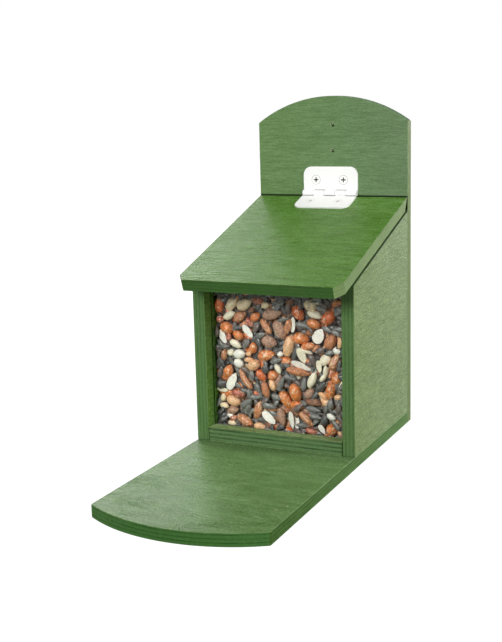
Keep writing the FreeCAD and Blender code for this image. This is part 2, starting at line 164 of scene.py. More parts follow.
def stained_ply_group():
    """Stain, veneer figure, fibres, worn patches and sawn plies over a board."""
    tree, given, result = new_group(
        "stained_ply",
        [
            ("Board", "Vector"),
            ("Half thickness", "Float"),
            ("Ends", "Float"),
            ("Stain", "Color"),
            ("Edge stain", "Color"),
            ("End stain", "Color"),
            ("Figure", "Float"),
            ("Curl", "Float"),
            ("Streaks", "Float"),
            ("Mottle", "Float"),
            ("Thin", "Float"),
            ("Shine", "Float"),
            ("Edge shine", "Float"),
            ("Plies", "Float"),
        ],
        [("Color", "Color"), ("Roughness", "Float"), ("Height", "Float")],
    )
    board = given.outputs["Board"]
    depth = add(tree, "ShaderNodeSeparateXYZ", {"Vector": board}).outputs["Z"]
    half = given.outputs["Half thickness"]
    to_face = calc(tree, "SUBTRACT", half, calc(tree, "ABSOLUTE", depth))
    on_face = ramp(tree, to_face, 0.15 * MM, 0.5 * MM, 1.0, 0.0)

    # Rotary-cut veneer: contour lines of a slow noise drawn out along the grain,
    # and a tight curl; then fibres, uneven stain and patches where it is thin
    slow = noise(tree, board, (6.0, 24.0, 24.0), 2.0, 0.45, 0.3)
    contour = calc(tree, "SINE", calc(tree, "MULTIPLY", slow, 70.0))
    figure = calc(tree, "MULTIPLY", contour, given.outputs["Figure"])
    field = noise(tree, board, (26.0, 40.0, 40.0), 3.0, 0.6, 0.8)
    curl = calc(tree, "SINE", calc(tree, "MULTIPLY", field, 130.0))
    where = ramp(tree, noise(tree, board, (30.0, 45.0, 45.0), 2.0), 0.35, 0.65, 0.1, 1.0)
    curl = calc(tree, "MULTIPLY", curl, calc(tree, "MULTIPLY", where, given.outputs["Curl"]))
    band = noise(tree, board, (12.0, 150.0, 150.0), 2.0, 0.5)
    streak = noise(tree, board, (75.0, 560.0, 560.0), 3.0, 0.7)
    mottle = noise(tree, board, (460.0, 680.0, 680.0), 4.0, 0.75)
    cloud = noise(tree, board, (14.0, 20.0, 20.0), 2.0)
    ripple = noise(tree, board, (38.0, 230.0, 230.0), 3.0, 0.6, 0.25)

    tone = calc(tree, "MULTIPLY_ADD", figure, 0.05, 1.0)
    tone = calc(tree, "MULTIPLY_ADD", curl, 0.06, tone)
    tone = swing(tree, band, 0.22, tone)
    tone = swing(tree, streak, given.outputs["Streaks"], tone)
    tone = swing(tree, mottle, given.outputs["Mottle"], tone)
    tone = swing(tree, cloud, 0.30, tone)
    stained = calc(tree, "MULTIPLY_ADD", tone, 0.70, 0.30)
    haze = calc(tree, "MULTIPLY", calc(tree, "SUBTRACT", tone, 1.0), 0.065)
    face_color = blend(tree, 1.0, given.outputs["Stain"], stained, "MULTIPLY")
    face_color = add(tree, "ShaderNodeVectorMath", {0: face_color, 1: haze}).outputs[0]
    wear_and_arris_highlight = calc(tree, "ADD", calc(tree, "MULTIPLY", streak, 0.4), calc(tree, "MULTIPLY", mottle, 0.6))
    wear_and_arris_highlight = swing(tree, cloud, 0.5, wear_and_arris_highlight)
    wear_and_arris_highlight = calc(tree, "MULTIPLY", ramp(tree, wear_and_arris_highlight, 0.52, 0.72), given.outputs["Thin"])

    # Sawn edge: plies of crossing grain, and dark glue lines that come and go
    wobble = noise(tree, board, (120.0, 120.0, 120.0), 2.0)
    shifted = swing(tree, wobble, 0.5 * MM, depth)
    share = calc(tree, "DIVIDE", shifted, half)
    count = calc(tree, "MULTIPLY_ADD", share, PLY_LAYERS / 2, PLY_LAYERS / 2)
    alternate = ramp(tree, calc(tree, "PINGPONG", count, 1.0), 0.3, 0.7, -1.0, 1.0)
    seam = calc(tree, "ABSOLUTE", calc(tree, "SUBTRACT", calc(tree, "FRACT", count), 0.5))
    patchy = ramp(tree, noise(tree, board, (45.0, 45.0, 300.0), 2.0), 0.35, 0.65, 0.2, 1.0)
    glue_line = calc(tree, "MULTIPLY", ramp(tree, seam, 0.36, 0.49), patchy)
    saw_marks = noise(tree, board, (700.0, 700.0, 350.0), 3.0, 0.7)
    contrast = calc(tree, "MULTIPLY", given.outputs["Plies"], calc(tree, "MULTIPLY_ADD", patchy, 0.6, 0.4))
    edge_tone = calc(tree, "MULTIPLY_ADD", alternate, contrast, 1.0)
    dip = calc(tree, "MULTIPLY", glue_line, calc(tree, "MULTIPLY", given.outputs["Plies"], -1.3))
    edge_tone = calc(tree, "ADD", edge_tone, dip)
    edge_tone = swing(tree, saw_marks, 0.45, edge_tone)
    edge_stain = blend(tree, given.outputs["Ends"], given.outputs["Edge stain"], given.outputs["End stain"])
    edge_color = blend(tree, 1.0, edge_stain, edge_tone, "MULTIPLY")
    color = blend(tree, wear_and_arris_highlight, blend(tree, on_face, edge_color, face_color), BARE_WOOD_AND_HIGHLIGHT)

    # Worn arris: the rounded line between face and edge, rubbed thin here and there and
    # painted paler as a highlight on the rounding
    below = calc(tree, "SUBTRACT", half, depth)
    rim = ramp(tree, below, 0.45 * ARRIS, 0.90 * ARRIS, 1.0, 0.0)
    past = ramp(tree, below, 0.06 * ARRIS, 0.20 * ARRIS)
    rubbed_and_highlit = ramp(tree, noise(tree, board, (160.0, 160.0, 160.0), 3.0, 0.7), 0.40, 0.62, 0.0, 0.32)
    wear_and_arris_highlight = calc(tree, "MULTIPLY", calc(tree, "MULTIPLY", rim, past), rubbed_and_highlit)
    color = blend(tree, wear_and_arris_highlight, color, BARE_WOOD_AND_HIGHLIGHT)
    tree.links.new(color, result.inputs["Color"])

    face_rough = swing(tree, mottle, 0.35, given.outputs["Shine"])
    face_rough = swing(tree, band, 0.20, face_rough)
    rough = choose(tree, on_face, given.outputs["Edge shine"], face_rough)
    tree.links.new(rough, result.inputs["Roughness"])

    rise = calc(tree, "MULTIPLY", ripple, calc(tree, "MULTIPLY", given.outputs["Streaks"], 0.90))
    face_height = calc(tree, "MULTIPLY_ADD", figure, 0.03, rise)
    face_height = calc(tree, "MULTIPLY_ADD", curl, 0.12, face_height)
    rise = calc(tree, "MULTIPLY", streak, calc(tree, "MULTIPLY", given.outputs["Streaks"], 0.80))
    face_height = calc(tree, "ADD", face_height, rise)
    rise = calc(tree, "MULTIPLY", mottle, calc(tree, "MULTIPLY", given.outputs["Mottle"], 0.70))
    face_height = calc(tree, "ADD", face_height, rise)
    edge_height = calc(tree, "MULTIPLY_ADD", glue_line, -0.4, calc(tree, "MULTIPLY", saw_marks, 0.4))
    tree.links.new(choose(tree, on_face, edge_height, face_height), result.inputs["Height"])
    return tree


def chip_group():
    """A small break in the stain round a point: bare fibres, and painted shade set off by the lean."""
    tree, given, result = new_group(
        "stain_chip",
        [("Place", "Vector"), ("Centre", "Vector"), ("Size", "Float"), ("Lean", "Vector")],
        [("Bare", "Float"), ("Dark", "Float")],
    )
    offset = add(
        tree,
        "ShaderNodeVectorMath",
        {0: given.outputs["Place"], 1: given.outputs["Centre"]},
        operation="SUBTRACT",
    ).outputs[0]
    ragged = noise(tree, given.outputs["Place"], (900.0, 900.0, 900.0), 2.0)
    edge = calc(tree, "MULTIPLY", given.outputs["Size"], swing(tree, ragged, 1.4, 1.0))
    reach = add(tree, "ShaderNodeVectorMath", {0: offset}, operation="LENGTH").outputs["Value"]
    share = calc(tree, "DIVIDE", reach, edge)
    tree.links.new(ramp(tree, share, 0.7, 1.1, 1.0, 0.0), result.inputs["Bare"])
    lean = add(
        tree,
        "ShaderNodeVectorMath",
        {0: offset, 1: given.outputs["Lean"]},
        operation="SUBTRACT",
    ).outputs[0]
    lean_reach = add(tree, "ShaderNodeVectorMath", {0: lean}, operation="LENGTH").outputs["Value"]
    lean_share = calc(tree, "DIVIDE", lean_reach, edge)
    tree.links.new(ramp(tree, lean_share, 0.7, 1.2, 1.0, 0.0), result.inputs["Dark"])
    return tree


stained_ply = stained_ply_group()
stain_chip = chip_group()


def new_material(name):
    """An empty material, its tree, its Principled shader and its output node."""
    material = bpy.data.materials.new(name)
    material.use_nodes = True
    tree = material.node_tree
    shader = tree.nodes["Principled BSDF"]
    return material, tree, shader, tree.nodes["Material Output"]


def grouped(tree, group, inputs):
    """A group placed in a material, with its sockets filled or linked."""
    node = tree.nodes.new("ShaderNodeGroup")
    node.node_tree = group
    for name, value in inputs.items():
        if isinstance(value, bpy.types.NodeSocket):
            tree.links.new(value, node.inputs[name])
        else:
            node.inputs[name].default_value = value
    return node


def along_axis(tree, vector, direction):
    """How far a vector reaches in a direction."""
    inputs = {0: vector, 1: direction}
    return add(tree, "ShaderNodeVectorMath", inputs, operation="DOT_PRODUCT").outputs["Value"]


def ply_material(
    name, along, across, centre, half, cut_from, values, chips=(), shaded_seams=(), painted_light_along=Vector(), painted_light=(0, 0, 0)
):
    """Stained plywood whose grain runs along one direction of the board.

    A shaded seam is a direction, a level, a half width, a fringe, a share, a facing and how
    far from the middle it starts: painted shade darkens the seam there. Painted light is
    added along a direction, per metre, and makes the colour paler.
    """
    material, tree, shader, output = new_material(name)
    turn = Matrix((along, across, along.cross(across)))
    texture = tree.nodes.new("ShaderNodeTexCoord")
    place = texture.outputs["Object"]
    grainwards = calc(tree, "ABSOLUTE", along_axis(tree, texture.outputs["Normal"], along))
    mapping = {
        "Vector": place,
        "Location": Vector((*cut_from, 0)) - turn @ centre,
        "Rotation": turn.to_euler(),
    }
    board = add(tree, "ShaderNodeMapping", mapping).outputs[0]
    ends = ramp(tree, grainwards, 0.6, 0.8)
    sizes = {"Board": board, "Half thickness": half, "Ends": ends}
    ply = grouped(tree, stained_ply, {**sizes, **values})
    color = ply.outputs["Color"]
    # Painted light: the colour grows paler along a direction
    from_centre = calc(tree, "SUBTRACT", along_axis(tree, place, painted_light_along), painted_light_along.dot(centre))
    color = add(
        tree, "ShaderNodeVectorMath", {0: from_centre, 1: painted_light, 2: color}, operation="MULTIPLY_ADD"
    ).outputs[0]
    # Painted shade darkens each seam
    for direction, level, half_width, fringe, share, facing, start in shaded_seams:
        off = calc(tree, "SUBTRACT", along_axis(tree, place, direction), level)
        off = calc(tree, "ABSOLUTE", off)
        seam = ramp(tree, off, half_width, half_width + fringe, share, 0.0)
        towards = ramp(tree, along_axis(tree, texture.outputs["Normal"], facing), 0.5, 0.65)
        seam = calc(tree, "MULTIPLY", seam, towards)
        sideways = calc(tree, "ABSOLUTE", along_axis(tree, place, X_AXIS))
        seam = calc(tree, "MULTIPLY", seam, ramp(tree, sideways, start - 0.5 * MM, start))
        color = blend(tree, seam, color, PAINTED_SEAM_SHADE)
    for spot, size, lean in chips:
        chip = grouped(
            tree, stain_chip, {"Place": place, "Centre": spot, "Size": size, "Lean": lean}
        )
        # Painted shade beside the chip, then its bare fibres
        color = blend(tree, chip.outputs["Dark"], color, CHIP_SHADE_PAINT)
        color = blend(tree, chip.outputs["Bare"], color, BARE_WOOD_AND_HIGHLIGHT)
    bump = add(tree, "ShaderNodeBump", {"Height": ply.outputs["Height"], "Distance": GRAIN_BUMP})
    tree.links.new(color, shader.inputs["Base Color"])
    tree.links.new(ply.outputs["Roughness"], shader.inputs["Roughness"])
    tree.links.new(bump.outputs[0], shader.inputs["Normal"])
    shader.inputs["IOR"].default_value = BOARD_IOR
    return material


def dress(node, material):
    """Give a piece of the frame its finish."""
    mesh = nodes[node].data
    mesh.materials.clear()
    mesh.materials.append(material)


def middle(node):
    low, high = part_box(node)
    return (low + high) / 2


def half_thickness(node):
    """Half of a board's smallest size."""
    low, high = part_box(node)
    return min(high - low) / 2


# The backboard is the tall board that hangs on the wall, with an arched top. The other
# boards are screwed to it from behind, and its face took a thin, even stain.
X_AXIS = Vector((1, 0, 0))
Y_AXIS = Vector((0, 1, 0))
Z_AXIS = Vector((0, 0, 1))
HANGER_SCREW_HEAD = 3.0 * MM

# The points of the two hanger screws come just through the backboard's face, and
# lift a few fibres there, with a painted shadow below and to the right of each
board_low, board_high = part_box("backboard")
screw_low, screw_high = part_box("hanger_screws")
upper_point = Vector((middle("hanger_screws").x, board_low.y, screw_high.z - HANGER_SCREW_HEAD))
lower_point = Vector((upper_point.x, board_low.y, screw_low.z + HANGER_SCREW_HEAD))
# Where the painted shadow beside each point lies
UNDER_POINT = Vector((0.9, 0, -1.2)) * MM

# Painted shade darkens the seam along the lid's rear edge, and at its ends the open
# wedge under the bevel
JOINT_HALF = 1.8 * MM
WEDGE_HALF = 5.0 * MM
WEDGE_START = board_high.x - 10.0 * MM
lid_top = max(vertex.co.z for vertex in nodes["lid_board"].data.vertices)

backboard_ply = ply_material(
    "backboard_ply",
    X_AXIS,
    Z_AXIS,
    middle("backboard"),
    half_thickness("backboard"),
    (0.31, 0.12),
    {
        "Stain": (0.136, 0.229, 0.096, 1),
        "Edge stain": (0.065, 0.141, 0.046, 1),
        "End stain": (0.158, 0.224, 0.072, 1),
        "Figure": 0.4,
        "Curl": 0.2,
        "Streaks": 0.75,
        "Mottle": 0.70,
        "Thin": 0.06,
        "Shine": 0.42,
        "Edge shine": 0.55,
        "Plies": 0.08,
    },
    [(upper_point, 1.3 * MM, UNDER_POINT), (lower_point, 1.2 * MM, UNDER_POINT)],
    [
        # Painted shade along the lid's rear seam and in the wedges at its ends
        (Z_AXIS, lid_top - JOINT_HALF + 1.0 * MM, JOINT_HALF, 0.5 * MM, 0.96, -Y_AXIS, 0.0),
        (Z_AXIS, lid_top - WEDGE_HALF, WEDGE_HALF, 0.5 * MM, 0.97, -Y_AXIS, WEDGE_START),
    ],
    # Painted sheen, paler and bluer towards the right
    X_AXIS,
    (0.12, 0.0, 0.24),
)
dress("backboard", backboard_ply)


# The base board is the floor of the hopper and, in front of it, the feeding tray.
# Its grain runs across in a curly figure, and its bowed front edge is left square.
# Two chips near the right edge show bare wood over a little painted shade. Painted
# shade darkens the tray in front of the rail, and painted light makes it paler towards
# the back.
# Where the painted shade under each chip lies
UNDER_CHIP = Vector((0, 0, -1)) * MM
base_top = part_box("base_board")[1].z


def base_spot(x, y):
    """Point on top of the tray."""
    return Vector((x, y, base_top))


base_ply = ply_material(
    "base_ply",
    X_AXIS,
    Y_AXIS,
    middle("base_board"),
    half_thickness("base_board"),
    (0.73, 0.40),
    {
        "Stain": (0.136, 0.249, 0.087, 1),
        "Edge stain": (0.085, 0.188, 0.059, 1),
        "End stain": (0.085, 0.167, 0.048, 1),
        "Figure": 1.6,
        "Curl": 1.2,
        "Streaks": 0.55,
        "Mottle": 0.80,
        "Thin": 0.10,
        "Shine": 0.26,
        "Edge shine": 0.80,
        "Plies": 0.14,
    },
    [
        (base_spot(0.0549, -0.1014), 0.9 * MM, UNDER_CHIP),
        (base_spot(0.0589, -0.0931), 0.7 * MM, UNDER_CHIP),
    ],
    # Painted shade on the tray in front of the rail
    [(Y_AXIS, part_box("front_rail")[0].y, 0.3 * MM, 26.0 * MM, 0.36, Z_AXIS, 0.0)],
    # Painted light: the tray grows paler towards the back
    Y_AXIS,
    (0.26, 0.40, 0.20),
)
dress("base_board", base_ply)


# The two side panels stand on the base with their grain running front to back, and
# their sawn front edges flank the pane. The right one took less stain outside, and
# painted shade darkens the seam under the lid. Painted sheen makes the right one paler
# towards the back.
LEFT_STAIN = (0.136, 0.285, 0.060, 1)
LEFT_ENDS = (0.098, 0.192, 0.063, 1)
RIGHT_STAIN = (0.185, 0.265, 0.105, 1)
RIGHT_ENDS = (0.108, 0.194, 0.079, 1)

# Of each panel: its outer side, where its pattern is cut from, the stains of its faces
# and ends, how worn it is, and how much painted sheen pales it towards the back
SIDES = (
    ("side_panel_left", -X_AXIS, (0.05, 0.62), LEFT_STAIN, LEFT_ENDS, 0.10, 0.0),
    ("side_panel_right", X_AXIS, (0.41, 0.77), RIGHT_STAIN, RIGHT_ENDS, 0.06, 0.30),
)
PAINTED_LIGHT_BACK = (0.9, 1.0, 1.1)
LID_SLOPE = math.radians(17.661)
down_slope = Vector((0, -math.cos(LID_SLOPE), -math.sin(LID_SLOPE)))
lid_normal = X_AXIS.cross(-down_slope)
for node, outwards, cut_from, stain, ends, thin, painted_light_rate in SIDES:
    rim = max(lid_normal.dot(vertex.co) for vertex in nodes[node].data.vertices)
    panel_ply = ply_material(
        node + "_ply",
        Y_AXIS,
        Z_AXIS,
        middle(node),
        half_thickness(node),
        cut_from,
        {
            "Stain": stain,
            "Edge stain": ends,
            "End stain": ends,
            "Figure": 0.6,
            "Curl": 0.5,
            "Streaks": 0.95,
            "Mottle": 1.9,
            "Thin": thin,
            "Shine": 0.44,
            "Edge shine": 0.60,
            "Plies": 0.14,
        },
        (),
        # Painted shade along the seam under the lid
        [(lid_normal, rim, 0.4 * MM, 0.4 * MM, 0.88, outwards, 0.0)],
        Y_AXIS * painted_light_rate,
        PAINTED_LIGHT_BACK,
    )
    dress(node, panel_ply)


# The front rail is an offcut laid flat across the front, nailed from below. Its
# long sawn edge faces the squirrel, with every ply showing, and its ends sit in painted shade.
FRONT_AND_TOP = Vector((0, -0.7, 0.7))
rail_low, rail_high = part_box("front_rail")
rail_ply = ply_material(
    "rail_ply",
    X_AXIS,
    Y_AXIS,
    middle("front_rail"),
    (rail_high.z - rail_low.z) / 2,
    (0.15, 0.95),
    {
        "Stain": (0.235, 0.345, 0.130, 1),
        "Edge stain": (0.096, 0.180, 0.068, 1),
        "End stain": (0.120, 0.215, 0.076, 1),
        "Figure": 0.6,
        "Curl": 0.2,
        "Streaks": 2.2,
        "Mottle": 2.4,
        "Thin": 0.40,
        "Shine": 0.42,
        "Edge shine": 0.60,
        "Plies": 0.34,
    },
    (),
    # Painted shade at both ends
    [(X_AXIS, end.x, 0.3 * MM, 0.5 * MM, 0.92, FRONT_AND_TOP, 0.0) for end in (rail_low, rail_high)],
)
dress("front_rail", rail_ply)


# The lid is one sloping board with clipped front corners, which a squirrel lifts. Its
# pattern is turned to the slope, so that its plies follow its own edges.
def lid_centre():
    """Point half way through the lid board's thickness."""
    heights = [lid_normal.dot(vertex.co) for vertex in nodes["lid_board"].data.vertices]
    half_way = (max(heights) + min(heights)) / 2
    spot = middle("lid_board")
    return spot + lid_normal * (half_way - lid_normal.dot(spot))


lid_ply = ply_material(
    "lid_ply",
    X_AXIS,
    -down_slope,
    lid_centre(),
    half_thickness("base_board"),
    (0.92, 0.23),
    {
        "Stain": (0.091, 0.200, 0.036, 1),
        "Edge stain": (0.047, 0.118, 0.026, 1),
        "End stain": (0.178, 0.264, 0.100, 1),
        "Figure": 0.5,
        "Curl": 0.2,
        "Streaks": 1.4,
        "Mottle": 0.75,
        "Thin": 0.08,
        "Shine": 0.27,
        "Edge shine": 0.50,
        "Plies": 0.12,
    },
)
dress("lid_board", lid_ply)


# The pane is a clear acrylic sheet, saw-cut and slid into the panels' grooves. Light
# passes straight through it to the feed, and the eye sees only a thin gloss.
ACRYLIC_IOR = 1.12
ACRYLIC_TINT = (0.99, 1.0, 0.995, 1)
LIGHT_PASSED = (0.97, 0.98, 0.975, 1)

pane_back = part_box("window_pane")[1].y
clear_pane, tree, shader, output = new_material("clear_pane")
shader.inputs["Base Color"].default_value = ACRYLIC_TINT
shader.inputs["Roughness"].default_value = 0.02
shader.inputs["IOR"].default_value = ACRYLIC_IOR
shader.inputs["Transmission Weight"].default_value = 1.0
path = tree.nodes.new("ShaderNodeLightPath")
passes = calc(tree, "MAXIMUM", path.outputs["Is Shadow Ray"], path.outputs["Is Diffuse Ray"])
through = add(tree, "ShaderNodeBsdfTransparent", {"Color": LIGHT_PASSED})
mixed = add(tree, "ShaderNodeMixShader", {0: passes, 1: shader.outputs[0], 2: through.outputs[0]})
tree.links.new(mixed.outputs[0], output.inputs["Surface"])
dress("window_pane", clear_pane)


# The feed is a loose mix: peanuts in their skins, blanched and split ones, large
# nuts, and black sunflower seeds in all the gaps. It is poured to a low heap.
def kernel_shape(name, rings, segments, taper, tip, power, shaped):
    """A kernel one unit long on X, thinner by taper towards +X, with a drawn tip."""
    work = bmesh.new()
    loops = []
    for index in range(1, rings):
        t = -math.cos(math.pi * index / rings)
        radius = 0.5 * (1 - t * t) ** power * (1 - taper * t)
        radius *= 1 - tip * max(0.0, t - 0.6)
        loop = []
        for step in range(segments):
            angle = 2 * math.pi * step / segments
            spot = Vector((0.5 * t, radius * math.cos(angle), radius * math.sin(angle)))
            loop.append(work.verts.new(shaped(spot)))
        loops.append(loop)
    for first, second in zip(loops, loops[1:]):
        for step in range(segments):
            after = (step + 1) % segments
            work.faces.new((first[step], second[step], second[after], first[after]))
    for loop, station in ((loops[0], -0.5), (loops[-1], 0.5)):
        end = work.verts.new((station, 0, 0))
        for step in range(segments):
            work.faces.new((loop[step], loop[(step + 1) % segments], end))
    bmesh.ops.recalc_face_normals(work, faces=work.faces)
    mesh = bpy.data.meshes.new(name)
    work.to_mesh(mesh)
    work.free()
    local = mesh.attributes.new("local", "FLOAT_VECTOR", "POINT")
    local.data.foreach_set("vector", [c for v in mesh.vertices for c in v.co])
    mesh.shade_smooth()
    return mesh


def lumpy(seed, depth=0.022):
    """Pushes a kernel's surface in and out a little."""
    draw = np.random.default_rng(seed)
    waves = [(Vector(draw.normal(0, 1, 3)), draw.uniform(0, 6.3)) for _ in range(5)]

    def shaped(spot):
        push = sum(math.sin(6.0 * spot.dot(wave) + phase) for wave, phase in waves)
        return spot * (1 + depth * push)

    return shaped


def cut_face(spot):
    """Half of a split nut: its cut face, dished along the middle, is towards +Z."""
    if spot.z > 0:
        dish = 0.05 * max(0.0, 1 - (4 * spot.y) ** 2) * max(0.0, 1 - (2.2 * spot.x) ** 2)
        return Vector((spot.x, spot.y, 0.10 + 0.10 * spot.z - dish))
    return Vector((spot.x, spot.y, 0.10 + spot.z))


def ribbed(spot):
    """Long flat ribs of a wrinkled nut."""
    angle = math.atan2(spot.z, spot.y)
    bump = 0.05 * math.cos(5 * angle + 4 * spot.x) + 0.03 * math.cos(3 * angle - 7 * spot.x)
    return Vector((spot.x, spot.y * (1 + bump), spot.z * (1 + bump)))


def husk(spot):
    """The four soft edges of a sunflower husk."""
    angle = math.atan2(spot.z, spot.y)
    bump = 0.05 * math.cos(4 * angle) + 0.03 * math.cos(7 * angle + 5 * spot.x)
    return Vector((spot.x, spot.y * (1 + bump), spot.z * (1 + bump)))


# Of each kind: how much it tapers, how far its tip is drawn, its fullness and form
KERNEL_FORMS = {
    "peanut": (
        (0.10, 0.9, 0.46, lumpy(1)),
        (0.22, 1.3, 0.50, lumpy(2)),
        (-0.05, 0.5, 0.44, lumpy(3)),
    ),
    "blanched": ((0.16, 1.0, 0.48, lumpy(4)), (0.05, 0.7, 0.46, lumpy(5))),
    "split": ((0.10, 0.8, 0.46, cut_face), (0.20, 1.0, 0.50, cut_face)),
    "seed": ((0.40, 0.4, 0.66, husk), (0.30, 0.9, 0.72, husk)),
    "nut": ((0.06, 0.5, 0.44, lumpy(8, 0.04)), (0.14, 0.7, 0.50, ribbed)),
}
NEAR_RINGS = 14
NEAR_SEGMENTS = 18
FAR_RINGS = 6
FAR_SEGMENTS = 7

# Tones of skins, bare kernels and husks
TONES = {
    "rust": (0.64, 0.128, 0.027),
    "orange": (0.73, 0.212, 0.052),
    "peach": (0.88, 0.490, 0.255),
    "brown": (0.54, 0.208, 0.090),
    "dark": (0.25, 0.112, 0.062),
    "maroon": (0.44, 0.110, 0.060),
    "cream": (0.96, 0.870, 0.660),
    "white": (0.97, 0.930, 0.820),
    "tan": (0.88, 0.700, 0.460),
    "mauve": (0.46, 0.262, 0.178),
    "slate": (0.180, 0.178, 0.162),
    "ink": (0.082, 0.080, 0.074),
    "plum": (0.140, 0.105, 0.090),
}
